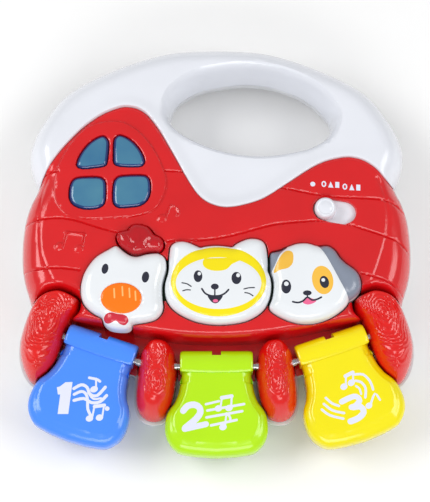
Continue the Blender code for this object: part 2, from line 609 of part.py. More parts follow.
# ---------------------------------------------------------------- legs
for side, loop in LEGS.items():
    start, end = (-72, -88) if "inner" in side else (-54, -70)

    def hump(p, drop=0.0, shift=0.0, loop=loop, start=start, end=end):
        t = np.clip((start - p[:, 1]) / (start - end), 0, 1)
        return PART_Z + GAP + 1 + (18.4 - 7.5 * t * t) * ell((reach(p, loop) - shift) / 9) - drop

    leg = pillow("leg_" + side, loop, hump, PART_Z + GAP, rings=(1, 3.4), spacing=10,
                 material=LEG_RED)
    inner = shrink(loop, 2.6)
    cut(leg, pillow("tool", inner, lambda p: hump(p, 2.6, 2.2), PART_Z - 2, rings=(3,), spacing=10))
    x, y = LEG_SCREWS[side]
    fuse(leg, rod("boss", (x, y, PART_Z + GAP), (x, y, 24), 3.2, 10))
    cut(leg, rod("tool", (x, y, PART_Z - 2), (x, y, 22), 1.6, 8))
    if "outer" in side:
        cut(leg, prism(offset(FACE, GAP), 0, PART_Z + GAP + 0.001))
    for centre, turn, stretch, _ in KEYS.values():
        cut(leg, prism(to_world(key_outline(stretch, 1.0, -6.7), centre, turn), -4, 60))
        cut(leg, prism(to_world([(-18.6, -8), (18.6, -8), (18.6, 9), (-18.6, 9)], centre, turn), 0, 60))
        ends = to_world([(-24.6, 0), (24.6, 0)], centre, turn)
        cut(leg, rod("tool", (*ends[0], ROD_Z), (*ends[1], ROD_Z), 2.3, 12))
    tidy(leg)

# ---------------------------------------------------------------- keys and their pins
for colour, (centre, turn, stretch, material) in KEYS.items():
    loop = key_outline(stretch)
    tip = KEY_TIP * stretch

    def key_top(p, loop=loop, tip=tip):
        face = ROD_Z + 4.4 - 2.8 * np.clip((p[:, 1] + 8) / (tip + 8), 0, 1)
        return face - 4.5 * (1 - ell(reach(p, loop) / 5)) * np.clip((-p[:, 1] - 8) / 5, 0, 1)

    def key_base(p, loop=loop):
        return ROD_Z - 12 + 3 * (1 - ell(reach(p, loop) / 4)) * np.clip((-p[:, 1] - 8) / 5, 0, 1)

    key = pillow("key_" + colour, loop, key_top, key_base, rings=(1.2, 4), spacing=14, material=material)
    profile = [(-9.4, 4.3), (-3.5, 5.9), (4.4, 6.2), (6.4, 5.4), (7.2, 3.4), (7, 0), (6, -2.6), (3.9, -4.8),
               (0, -6), (-3.4, -5.6), (-9.4, -5)]
    m = len(profile)
    verts = [(x, y, ROD_Z + z) for x in (-17.4, 17.4) for y, z in profile]
    faces = [tuple(range(m)), tuple(range(m, 2 * m))[::-1]]
    faces += [(i, m + i, m + (i + 1) % m, (i + 1) % m) for i in range(m)]
    hinge = new_object("hinge", verts, faces)
    bm = bmesh.new()
    bm.from_mesh(hinge.data)
    bmesh.ops.recalc_face_normals(bm, faces=bm.faces)
    bm.to_mesh(hinge.data)
    bm.free()
    fuse(key, hinge, block("arm", (-3.6, -1.6, 9.5), (3.6, 1.6, ROD_Z)))
    cut(key, rod("tool", (-30, 0, ROD_Z), (30, 0, ROD_Z), BORE_R, 16),
        block("tool", (-2.2, 4.4, 0), (2.2, 12, 40)),
        pillow("tool", shrink(key_outline(stretch, 0, -9.5), 3.2), lambda p, f=key_top: f(p) - 2.6, 5,
               rings=(4,), spacing=16))
    key.data.transform(Matrix.Translation((centre[0] * MM, centre[1] * MM, 0))
                       @ Matrix.Rotation(math.radians(turn), 4, "Z"))
    tidy(key)
    place(key, (centre[0], centre[1], ROD_Z), turn)
    ends = to_world([(-24.2, 0), (24.2, 0)], centre, turn)
    pin = rod("key_pin_" + colour, (*ends[0], ROD_Z), (*ends[1], ROD_Z), ROD_R, 16, material=STEEL)
    tidy(pin)
    for kind, box, mat in (("key_board_", ((-11, 7.2, 6.4), (11, 8.8, 13.4)), BOARD),
                           ("key_switch_", ((-2.6, 3.6, 9), (2.6, 6.9, 12.4)), BLACK)):
        piece = block(kind + colour, *box, material=mat)
        if kind == "key_switch_":
            fuse(piece, block("stem", (-4.2, 5.4, 8), (4.2, 6.9, 13.2)))
        piece.data.transform(Matrix.Translation((centre[0] * MM, centre[1] * MM, 0))
                             @ Matrix.Rotation(math.radians(turn), 4, "Z"))

# ---------------------------------------------------------------- buttons on their rubber domes
for name, loop, seat, material in (("chicken_button", CHICKEN, (-45, -27), CAP), ("cat_button", CAT, (1, -25), CAP),
                                   ("dog_button", DOG, (47, -25), CAP)):
    loop = ccw(loop)

    def cap(p, drop=0.0, shift=0.0, loop=loop):
        return BUTTON_TOP - 5.4 + 5.4 * ell((reach(p, loop) - shift) / 6) - drop

    button = pillow(name, loop, cap, 29.0, rings=(1, 3.6), spacing=14, material=material)
    cut(button, pillow("tool", shrink(loop, 2.0), lambda p: cap(p, 2.0, 2.0), 27, rings=(2.4,), spacing=18))
    fuse(button, rod("plunger", (*seat, 27.6), (*seat, BUTTON_TOP - 1), 2.8, 16))
    tidy(button)
    place(button, (*seat, 29.0))
    dome = turned(name.replace("button", "dome"), [(0, 24.4), (5.2, 24.4), (5.2, 25), (3.6, 26.6), (2.2, 27.2), (0, 27.2)],
                  seat, 12, RUBBER)
    tidy(dome)

comb_loop = ccw(COMB)
comb = pillow("chicken_comb", comb_loop, lambda p: BUTTON_TOP - 4.6 + 4.4 * ell(reach(p, comb_loop) / 5), 30.0,
              rings=(0.5, 1.6, 3.4), spacing=6, material=COMB_RED)
cut(comb, prism(shrink(comb_loop, 2.2), 28, 36.4))
tidy(comb)

# ---------------------------------------------------------------- window lens, switch
lens = prism([(-75.5, 12), (-29.5, 12), (-29.5, 34), (-33, 46), (-42, 55.5), (-57, 56), (-66, 52.5), (-75.5, 38)],
             29.3, 30.6, "window_lens", BLUE_LENS)
for pane in PANES.values():
    pad = ccw(pane)
    fuse(lens, pillow("pad", pad, lambda p, pad=pad: face_height(p) - 0.9 + 1.5 * ell(reach(p, pad) / 3), 30.0,
                      rings=(0.6, 2.2), spacing=7))
tidy(lens)

slider = prism(stadium((SWITCH_FROM[0] - 7.7 * along[0], SWITCH_FROM[1] - 7.7 * along[1]),
                       (SWITCH_FROM[0] + 8.6 * along[0], SWITCH_FROM[1] + 8.6 * along[1]), 7.2), 30.9, 32.2,
               "switch_slider", WHITE)
knob = turned("knob", [(0, 31.4), (5.0, 31.4), (5.3, 38.4), (4.7, 39.8), (3.0, 40.5), (0, 40.7)], SWITCH_FROM, 24)
fuse(slider, knob, rod("stem", (*SWITCH_FROM, 27.4), (*SWITCH_FROM, 31.4), 1.5, 12))
tidy(slider)
place(slider, (*SWITCH_FROM, 32.2))
switch = prism([(SWITCH_FROM[0] + u * along[0] - v * along[1], SWITCH_FROM[1] + u * along[1] + v * along[0])
                for u, v in ((-6, -4), (15.5, -4), (15.5, 4), (-6, 4))], 23.8, 28.8, "slide_switch", BLACK)
cut(switch, prism(stadium(SWITCH_FROM, SLOT_END, 2.0), 26.4, 30))
switch_board = prism([(SWITCH_FROM[0] + u * along[0] - v * along[1], SWITCH_FROM[1] + u * along[1] + v * along[0])
                      for u, v in ((-9, -6), (19, -6), (19, 6), (-9, 6))], 22.0, 23.5, "switch_board", BOARD)

# ---------------------------------------------------------------- boards, speaker, cells
prism([(-64, -4), (-64, -32), (-54, -38.6), (54, -38.6), (66, -32), (66, -4)], BOARD_Z, BOARD_Z + 1.6,
      "main_board", BOARD)
chip = turned("sound_chip", [(0, 24.4), (4.4, 24.4), (3.9, 25.4), (2, 26.1), (0, 26.2)], (-20, -12), 20, BLACK)
tidy(chip)
block("window_board", (-64, 26, 20), (-44, 48, 21.4), BOARD)
for i, (x, y) in enumerate(((-59.5, 37), (-48.5, 37))):
    led = turned("window_led_%d" % (i + 1), [(0, 21.7), (2.9, 21.7), (2.9, 22.7), (2.5, 22.7), (2.5, 25.2), (1.6, 26.6),
                                             (0, 27.1)], (x, y), 10, LED)
    tidy(led)

turned_frame = turned("speaker_frame", [(0, 7.6), (17, 7.6), (17, 4.7), (20, 4.7), (20, 6.4), (13, 9.4), (0, 9.4)], SPEAKER,
                      20, STEEL)
tidy(turned_frame)
magnet = turned("speaker_magnet", [(0, 9.7), (11, 9.7), (11, 15.2), (10.4, 15.8), (0, 15.8)], SPEAKER, 16, BLACK)
tidy(magnet)
cone = turned("speaker_cone", [(0, 6.2), (4, 6.2), (5, 6.8), (12, 5.4), (14.4, 4.8), (16.4, 5.2), (16.4, 6.3),
                               (12, 7.3), (0, 7.3)], SPEAKER, 20, PAPER)
tidy(cone)

door = block("battery_door", (-31, -0.8, 2), (31, 32.8, 3.9), BACK)
fuse(door, block("tab", (30, 12, 2), (39, 20, 3.9)))
cut(door, rod("tool", (35.2, 16, 0), (35.2, 16, 5), 1.6, 12), rod("tool", (35.2, 16, 0), (35.2, 16, 3.1), 2.9, 16))
door_screw = turned("battery_door_screw", [(0, 2.1), (2.5, 2.1), (2.5, 2.8), (1.2, 2.8), (1.2, 9), (0, 9.6)], (35.2, 16),
                    16, STEEL)
tidy(door_screw)
for i, y in enumerate((8.6, 23.4)):
    d = -1 if i else 1
    cell = rod("battery_%d" % (i + 1), (-24.6, y, 11.9), (24.6, y, 11.9), 7.1, 20, material=CELL)
    fuse(cell, rod("cap", (d * 24, y, 11.9), (d * 25.6, y, 11.9), 2.6, 12))
    tidy(cell)
for name, x, d in (("contact_left", -28.6, 1), ("contact_right", 28.0, -1)):
    plate = block(name, (x, 2.2, 5.2), (x + 0.6, 29.8, 18.4), STEEL)
    y = 8.6 if d > 0 else 23.4
    x0, x1 = (x + 0.3, x + 3.0) if d > 0 else (x - 2.4, x + 0.3)
    fuse(plate, rod("coil", (x0, y, 11.9), (x1, y, 11.9), 3.4, 12))

# ---------------------------------------------------------------- screws and feet
spots = [("case_screw_%d" % (i + 1), p, 24.0) for i, p in enumerate(CASE_SCREWS)]
spots += [("leg_screw_" + side, p, 21.0) for side, p in LEG_SCREWS.items()]
for name, (x, y), top in spots:
    screw = turned(name, [(0, 3.6), (2.8, 3.6), (2.8, 5.2), (1.2, 5.2), (1.2, top), (0, top)], (x, y), 8, STEEL)
    tidy(screw)
for i, (x, y) in enumerate(FEET):
    foot = turned("foot_%d" % (i + 1), [(0, 0), (4.6, 0), (5, 0.5), (5, 2.5), (0, 2.5)], (x, y), 16, RUBBER)
    tidy(foot)
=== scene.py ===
import json
import math

import bmesh
import bpy
import numpy as np
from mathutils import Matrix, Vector
from mathutils.geometry import delaunay_2d_cdt


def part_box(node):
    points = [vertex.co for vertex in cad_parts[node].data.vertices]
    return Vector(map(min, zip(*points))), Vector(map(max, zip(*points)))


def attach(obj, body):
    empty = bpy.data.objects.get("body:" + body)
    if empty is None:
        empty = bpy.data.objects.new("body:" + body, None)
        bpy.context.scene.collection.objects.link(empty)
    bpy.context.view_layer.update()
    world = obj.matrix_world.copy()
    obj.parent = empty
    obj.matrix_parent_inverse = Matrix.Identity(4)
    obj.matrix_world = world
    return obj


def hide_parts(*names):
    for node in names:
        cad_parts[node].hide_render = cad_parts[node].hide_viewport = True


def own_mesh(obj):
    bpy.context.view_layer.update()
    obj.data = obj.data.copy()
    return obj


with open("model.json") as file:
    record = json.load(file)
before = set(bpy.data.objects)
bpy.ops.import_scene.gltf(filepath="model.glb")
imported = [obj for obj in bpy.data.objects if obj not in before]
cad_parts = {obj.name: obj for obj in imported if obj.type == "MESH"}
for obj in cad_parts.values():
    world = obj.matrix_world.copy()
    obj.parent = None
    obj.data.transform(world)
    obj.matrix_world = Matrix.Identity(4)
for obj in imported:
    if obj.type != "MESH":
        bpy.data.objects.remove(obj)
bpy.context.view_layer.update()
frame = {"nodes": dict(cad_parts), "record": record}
MM = 0.001

# ------------------------------------------------------------------ sizes and outlines, in mm
PART_Z, FLOOR_Z, FACE_Z, CROWN, ROD_Z = 14.0, 2.0, 33.5, 2.5, 22.5
KEY_ANGLE, SIDE_KEY, MID_KEY = 19.0, (56.3, -53.9), (0.0, -62.4)
SWITCH_FROM, SWITCH_ANGLE, SWITCH_RUN = (53.6, 14.2), -9.5, 9.4
TOP_Z = 40.6
ROOF_R = [(0, 105.9), (13, 105.5), (24, 104.4), (34.5, 101.8), (45, 98.2), (55, 93.9), (65, 88.9),
          (74, 83.3), (81.2, 76.6), (86.6, 68.7), (91.3, 60.5), (94.2, 52.4), (95, 46.6), (94, 40.2),
          (91.5, 33.5), (90, 30)]
SIDE_R = [(91.2, 26.5), (93.5, 21.5), (95.8, 13.5), (96.9, 4), (97, -5.5), (96.4, -13.5),
          (94.9, -20.5), (92.9, -26.5), (91.6, -31)]
LOBES_R = [(93, -35.5), (95.4, -41.5), (96.9, -48), (97, -55), (95.8, -61.5), (93.2, -67), (89.6, -70.8),
           (86, -71.6), (81.5, -69), (78, -62), (76.1, -53), (39.7, -65.5), (40, -70), (40.1, -77),
           (39.5, -82.4), (37.4, -86.5), (33.7, -89), (29.4, -89.5), (25, -87.9), (21.8, -84),
           (19.9, -78.5), (18.8, -72), (18.4, -68), (9, -68)]
EAVES = [(-88.6, 29.6), (-86.4, 32.4), (-82.8, 38.3), (-78.1, 45.3), (-72.3, 52.3), (-66, 58.8), (-58.6, 64.5),
         (-52.6, 67.5), (-47.6, 69.1), (-43.6, 69.1), (-39.5, 68), (-35.5, 65.3), (-31.9, 60.9),
         (-28.3, 55.5), (-24.2, 48), (-20.2, 40.5), (-16.6, 33.5), (-13.1, 27.2), (-9.6, 21.9),
         (-5.7, 18.2), (-1.2, 15.9), (3.7, 14.8), (9.1, 15.1), (15.5, 16.6), (21.5, 18.7), (26.4, 21.4),
         (32.4, 25.6), (38.4, 29.8), (44.5, 34.1), (50.5, 37.8), (56.5, 40.2), (64, 41.8), (69, 41.5),
         (73.9, 39.9), (78.8, 36.5), (83, 32.2), (86.4, 29.6), (88.8, 28.4)]
FOOT_R = [(86, -34.5), (76, -38.6), (65, -41.2), (54, -43.2), (41, -46), (27.5, -48.4), (14, -49.9)]
GRIP = [(-23.5, 70.5), (-20, 78.5), (-10.5, 85), (0, 88), (14.8, 89.8), (28, 88.3), (38, 85),
        (48, 79.5), (56.2, 70.8), (58.5, 64), (55.5, 55.6), (47.5, 50.2), (39.7, 47.9), (29.5, 46.1),
        (19.4, 45.7), (9.3, 46.9), (-0.8, 49.5), (-9.9, 53.3), (-17.7, 58), (-22.6, 63.5)]
LEG_IN = [(32.3, -50.2), (37.1, -55.7), (38, -62.1), (38.8, -69.6), (39.2, -76.9), (38.6, -81.8),
          (36.7, -85.3), (33.3, -87.7), (29.4, -88.2), (25.6, -86.7), (22.8, -83.3), (20.9, -78.4),
          (19.5, -69.6), (19.1, -62.1), (20.1, -55.7), (22.6, -51.7), (26.5, -49.7)]
LEG_OUT = [(75.2, -25.5), (81.2, -25.8), (86.2, -28.3), (90.4, -33.4), (93.4, -39), (95.4, -45.1),
           (96.3, -51.7), (95.7, -57.7), (93.9, -63.2), (91.1, -68.1), (87.7, -70.1), (83.9, -69.1),
           (80.6, -65.1), (77.9, -60.2), (75.6, -54.2), (73.8, -49.1), (72.5, -44.1), (70.2, -40.1),
           (67.3, -37), (66.5, -32.9), (67.5, -29.4)]
PANES = [
    [(-69.7, 37.5), (-67.9, 43.4), (-64.1, 48.8), (-60.1, 52), (-56.7, 53.1), (-54.6, 51.4),
     (-53.8, 48.2), (-54.4, 39.1), (-55.8, 36.7), (-60.2, 35.9), (-66.7, 35.4)],
    [(-51.4, 49.8), (-50.7, 52.2), (-48.7, 53.6), (-45.2, 52.5), (-41.1, 49.3), (-37.6, 44.5),
     (-35.8, 39.7), (-36.5, 37.3), (-38.9, 36.2), (-47.9, 36.5), (-50.9, 38.1), (-51.4, 41.8)],
    [(-72.9, 22.5), (-72.4, 27), (-70.8, 29.8), (-67.5, 30.9), (-59.5, 31), (-56.3, 30), (-54.9, 27.2),
     (-54.8, 19), (-56.2, 15.6), (-59.8, 14.1), (-65.5, 14.1), (-70.2, 16), (-72.4, 19)],
    [(-51.2, 19), (-51.1, 27), (-49.7, 30.2), (-46.6, 31.5), (-37.5, 31.8), (-34.2, 30.8), (-32.8, 27.8),
     (-32.7, 22.5), (-34.2, 18.2), (-37.6, 15.5), (-42, 14.8), (-47.6, 14.5), (-50.2, 16)]]
BEZEL = [(-65.9, 57.3), (-73.1, 48.6), (-77.8, 39.5), (-80, 31.6), (-80.3, 23.6), (-78.9, 17.9), (-75.5, 13.2),
         (-71, 10.5), (-66, 9), (-57.2, 8.8), (-47.4, 9.3), (-40, 9.9), (-32.7, 12.1), (-28.4, 15.8),
         (-25.2, 23.6), (-25, 30), (-27.1, 36.9), (-30, 43.4), (-34.5, 50.5), (-40, 56.5), (-47, 60.6), (-56, 61)]
CHICKEN = [(-48.8, -5.4), (-52.8, -7.3), (-58.1, -10.6), (-61.6, -14.6), (-64.3, -19.6), (-65.6, -25),
           (-65.6, -29.8), (-64.6, -33.4), (-62.3, -36.7), (-58.8, -39.4), (-55.3, -41.2), (-54.2, -44),
           (-51.6, -46.4), (-47.5, -47.4), (-43, -47.4), (-40.9, -46), (-40.2, -44.4), (-34.3, -43.7),
           (-29.5, -42.3), (-26.8, -39.7), (-25.7, -36.6), (-26, -33), (-26.3, -28.2), (-26.1, -24.1),
           (-25, -19.8), (-24.4, -17), (-24.5, -13.5), (-25.6, -11), (-27.8, -9.5), (-29.9, -9.2),
           (-34.2, -9.7), (-38.6, -10.9), (-41.9, -10.3), (-45.2, -8.2)]
COMB = [(-48.9, -1.3), (-48, 1.2), (-45.6, 2), (-43.6, 2.3), (-42.2, 4.3), (-40.3, 5.4), (-37.4, 5.4),
        (-33.9, 4.3), (-31.9, 2.3), (-30.4, 0.2), (-27.5, -1.3), (-26, -3.4), (-25.9, -6.3),
        (-27.6, -8.5), (-29.9, -8.3), (-34.2, -8.8), (-38.5, -9.9), (-41.5, -9.4), (-44.6, -7.3),
        (-47.6, -4.7)]
CAT = [(-0.7, -5.3), (4.6, -5.6), (7.6, -6), (9.5, -4.5), (12.9, -2.7), (16.3, -1.7), (20.3, -2),
       (22.9, -3.4), (24.2, -6), (24.8, -10.4), (25, -15), (24.9, -18.1), (26, -21.1), (26.6, -25.6),
       (26, -30.7), (24.5, -34.7), (22.5, -37.8), (18.9, -40.7), (13.6, -43.2), (6.5, -44.5),
       (-0.7, -44.8), (-7.9, -43.8), (-13.7, -41.8), (-19, -38.8), (-22.3, -35.7), (-24.2, -32.2),
       (-25, -28.2), (-24.8, -24.1), (-23.7, -20), (-23.2, -17), (-23.2, -13.5), (-22.9, -8.9),
       (-22.4, -5.8), (-20.5, -3.9), (-17.3, -3.1), (-13.9, -3.6), (-10, -5.3), (-7.8, -6.3),
       (-5.6, -5.8)]
DOG = [(26.3, -9.2), (28.5, -8.3), (31.4, -7.6), (34.3, -6.1), (38.3, -4.5), (42.2, -4), (45.6, -4.3),
       (49.5, -5.5), (53.4, -5.1), (55.8, -5.8), (58.2, -7.9), (60, -10.9), (62.9, -14), (66.7, -16.8),
       (69, -19.6), (70.1, -23.1), (70, -26.7), (68.2, -29.7), (65.8, -31.7), (64.1, -32.9),
       (62.8, -35.2), (59.8, -38.2), (55.4, -40.9), (50.6, -42.7), (44.8, -43.9), (39.1, -43.9),
       (34.3, -42.7), (29.5, -40.4), (26.2, -38), (25.5, -35.8), (26.8, -32.3), (27.5, -28.2),
       (27.7, -24.1), (27.1, -20.6), (26.2, -18), (26, -13)]
KEY_HALF = [(17.4, -7.8), (17.9, -10.5), (18.6, -13.7), (20.3, -17.7), (22.7, -21.1), (24.2, -24.5),
            (24.8, -29), (24.5, -33), (23, -36.7), (20, -40.1), (16.7, -41.8), (9.6, -43)]
KEY_TIP = -43.6
CASE_SCREWS = [(-84, -2), (84, -2), (-14, -45.4), (14, -45.4), (-79, 58), (79, 58), (5, 39.4), (5, 97.4)]
LEG_SCREWS = {"inner_left": (-29.4, -73), "inner_right": (29.4, -73),
              "outer_left": (-87.5, -56), "outer_right": (87.5, -56)}
FEET = [(-70, 62), (70, 62), (-62, -44), (62, -44)]
SPEAKER = (-56.0, 4.0)


# ------------------------------------------------------------------ plane geometry
def mirror(pts):
    return [(-x, y) for x, y in pts]


def both(right):
    return right + mirror([p for p in right if p[0] > 0.01])[::-1]


def smooth(pts, n=3, closed=True):
    out, m = [], len(pts)
    for i in range(m if closed else m - 1):
        a, b, c, d = (pts[(i + k) % m] if closed else pts[min(max(i + k, 0), m - 1)] for k in (-1, 0, 1, 2))
        for j in range(n):
            t = j / n
            out.append(tuple(0.5 * (2 * b[k] + (c[k] - a[k]) * t + (2 * a[k] - 5 * b[k] + 4 * c[k] - d[k]) * t * t
                                    + (3 * b[k] - a[k] - 3 * c[k] + d[k]) * t ** 3) for k in (0, 1)))
    if not closed:
        out.append(tuple(pts[-1]))
    return out


def ccw(poly):
    s = sum(poly[i - 1][0] * poly[i][1] - poly[i][0] * poly[i - 1][1] for i in range(len(poly)))
    return list(poly) if s > 0 else list(poly)[::-1]


def reach(points, line, closed=True):
    """Distance from each point to a polyline."""
    p = np.asarray(points, float).reshape(-1, 2)
    a = np.asarray(line, float)
    b = np.roll(a, -1, axis=0)
    if not closed:
        a, b = a[:-1], b[:-1]
    best = np.full(len(p), 1e9)
    for (ax, ay), (bx, by) in zip(a, b):
        dx, dy = bx - ax, by - ay
        t = np.clip(((p[:, 0] - ax) * dx + (p[:, 1] - ay) * dy) / max(dx * dx + dy * dy, 1e-9), 0, 1)
        best = np.minimum(best, (p[:, 0] - ax - t * dx) ** 2 + (p[:, 1] - ay - t * dy) ** 2)
    return np.sqrt(best)


def within(points, poly):
    p = np.asarray(points, float).reshape(-1, 2)
    inside = np.zeros(len(p), bool)
    for (x0, y0), (x1, y1) in zip(poly, list(poly[1:]) + [poly[0]]):
        if y0 != y1:
            inside ^= ((y0 > p[:, 1]) != (y1 > p[:, 1])) & (p[:, 0] < (x1 - x0) * (p[:, 1] - y0) / (y1 - y0) + x0)
    return inside


def depth(points, poly):
    """Signed distance to a closed outline, positive inside."""
    return reach(points, poly) * np.where(within(points, poly), 1, -1)


def offset(poly, d):
    poly = ccw(poly)
    m, out = len(poly), []
    for i, (x, y) in enumerate(poly):
        (x0, y0), (x1, y1) = poly[i - 1], poly[(i + 1) % m]
        r0, r1 = math.hypot(x - x0, y - y0) or 1, math.hypot(x1 - x, y1 - y) or 1
        nx, ny, mx, my = (y - y0) / r0, (x0 - x) / r0, (y1 - y) / r1, (x - x1) / r1
        k = d / max(1 + nx * mx + ny * my, 0.5)
        out.append((x + k * (nx + mx), y + k * (ny + my)))
    ok = reach(out, poly) > 0.97 * abs(d) - 1e-6
    return [q for q, k in zip(out, ok) if k]


def shift(line, d):
    out = []
    for i, (x, y) in enumerate(line):
        (x0, y0), (x1, y1) = line[max(i - 1, 0)], line[min(i + 1, len(line) - 1)]
        r = math.hypot(x1 - x0, y1 - y0)
        out.append((x - d * (y1 - y0) / r, y + d * (x1 - x0) / r))
    return out


def split_long(poly, step, closed=True):
    out = []
    ends = list(poly[1:]) + ([poly[0]] if closed else [])
    for (x0, y0), (x1, y1) in zip(poly, ends):
        k = max(1, math.ceil(math.hypot(x1 - x0, y1 - y0) / step))
        out += [(x0 + (x1 - x0) * i / k, y0 + (y1 - y0) * i / k) for i in range(k)]
    return out if closed else out + [poly[-1]]


def oval(cx, cy, a, b, tilt=0.0, n=28):
    c, s = math.cos(math.radians(tilt)), math.sin(math.radians(tilt))
    return [(cx + a * math.cos(t) * c - b * math.sin(t) * s, cy + a * math.cos(t) * s + b * math.sin(t) * c)
            for t in (2 * math.pi * i / n for i in range(n))]


def stroke(line, width, n=3):
    """Outline of a round-ended brush stroke along a line."""
    line = smooth(line, n, closed=False) if len(line) > 2 else list(line)
    r = width / 2
    left, right = shift(line, r), shift(line, -r)
    a0 = math.atan2(line[0][1] - line[1][1], line[0][0] - line[1][0])
    a1 = math.atan2(line[-1][1] - line[-2][1], line[-1][0] - line[-2][0])
    cap1 = [(line[-1][0] + r * math.cos(a1 + t), line[-1][1] + r * math.sin(a1 + t)) for t in (0.9, 0.45, 0, -0.45,
        -0.9)]
    cap0 = [(line[0][0] + r * math.cos(a0 + t), line[0][1] + r * math.sin(a0 + t)) for t in (0.9, 0.45, 0, -0.45,
        -0.9)]
    return left + cap1 + right[::-1] + cap0


def stadium(p0, p1, r, n=14):
    a = math.atan2(p1[1] - p0[1], p1[0] - p0[0])
    pts = [(p1[0] + r * math.cos(a + t), p1[1] + r * math.sin(a + t)) for t in np.linspace(-math.pi / 2,
        math.pi / 2, n)]
    return pts + [(p0[0] + r * math.cos(a + t), p0[1] + r * math.sin(a + t))
                  for t in np.linspace(math.pi / 2, 1.5 * math.pi, n)]


def ell(t):
    t = np.clip(t, 0, 1)
    return np.sqrt(1 - (1 - t) ** 2)


def step(t):
    t = np.clip(t, 0, 1)
    return t * t * (3 - 2 * t)


def region(add, drop=()):
    """Outer outline of the loops in add taken together, less the loops in drop."""
    pts, edges = [], []
    for loop in list(add) + list(drop):
        k = len(pts)
        pts += loop
        edges += [(k + i, k + (i + 1) % len(loop)) for i in range(len(loop))]
    vs, _, faces, *_ = delaunay_2d_cdt([Vector(p) for p in pts], edges, [], 0, 1e-4)
    mid = [tuple(sum((vs[i] for i in f), Vector((0, 0))) / 3) for f in faces]
    ok = np.any([within(mid, loop) for loop in add], axis=0)
    for loop in drop:
        ok &= ~within(mid, loop)
    seen = {(a, b) for f, k in zip(faces, ok) if k for a, b in zip(f, list(f[1:]) + [f[0]])}
    nxt = {a: b for a, b in sorted(seen) if (b, a) not in seen}
    best = []
    while nxt:
        walk, a = [], next(iter(nxt))
        while a in nxt:
            walk.append((vs[a][0], vs[a][1]))
            a = nxt.pop(a)
        if len(walk) > len(best):
            best = walk
    return [p for i, p in enumerate(best) if math.hypot(p[0] - best[i - 1][0], p[1] - best[i - 1][1]) > 0.03]


def to_world(pts, centre, turn):
    c, s = math.cos(math.radians(turn)), math.sin(math.radians(turn))
    return [(centre[0] + x * c - y * s, centre[1] + x * s + y * c) for x, y in pts]


def to_local(pts, centre, turn):
    c, s = math.cos(math.radians(turn)), math.sin(math.radians(turn))
    return [((x - centre[0]) * c + (y - centre[1]) * s, -(x - centre[0]) * s + (y - centre[1]) * c) for x, y in pts]


# ------------------------------------------------------------------ meshes
FINE_RINGS = (0.2, 0.5, 0.9, 1.4, 2.2, 3.2)


def put(name, verts, faces, mats, body, index=None, angle=32):
    mesh = bpy.data.meshes.new(name)
    mesh.from_pydata([(x * MM, y * MM, z * MM) for x, y, z in verts], [], faces)
    mesh.update()
    obj = bpy.data.objects.new(name, mesh)
    bpy.context.collection.objects.link(obj)
    for m in mats:
        mesh.materials.append(m)
    if index is not None:
        mesh.polygons.foreach_set("material_index", index)
    mesh.shade_smooth()
    mesh.set_sharp_from_angle(angle=math.radians(angle))
    if body:
        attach(obj, body)
    return obj


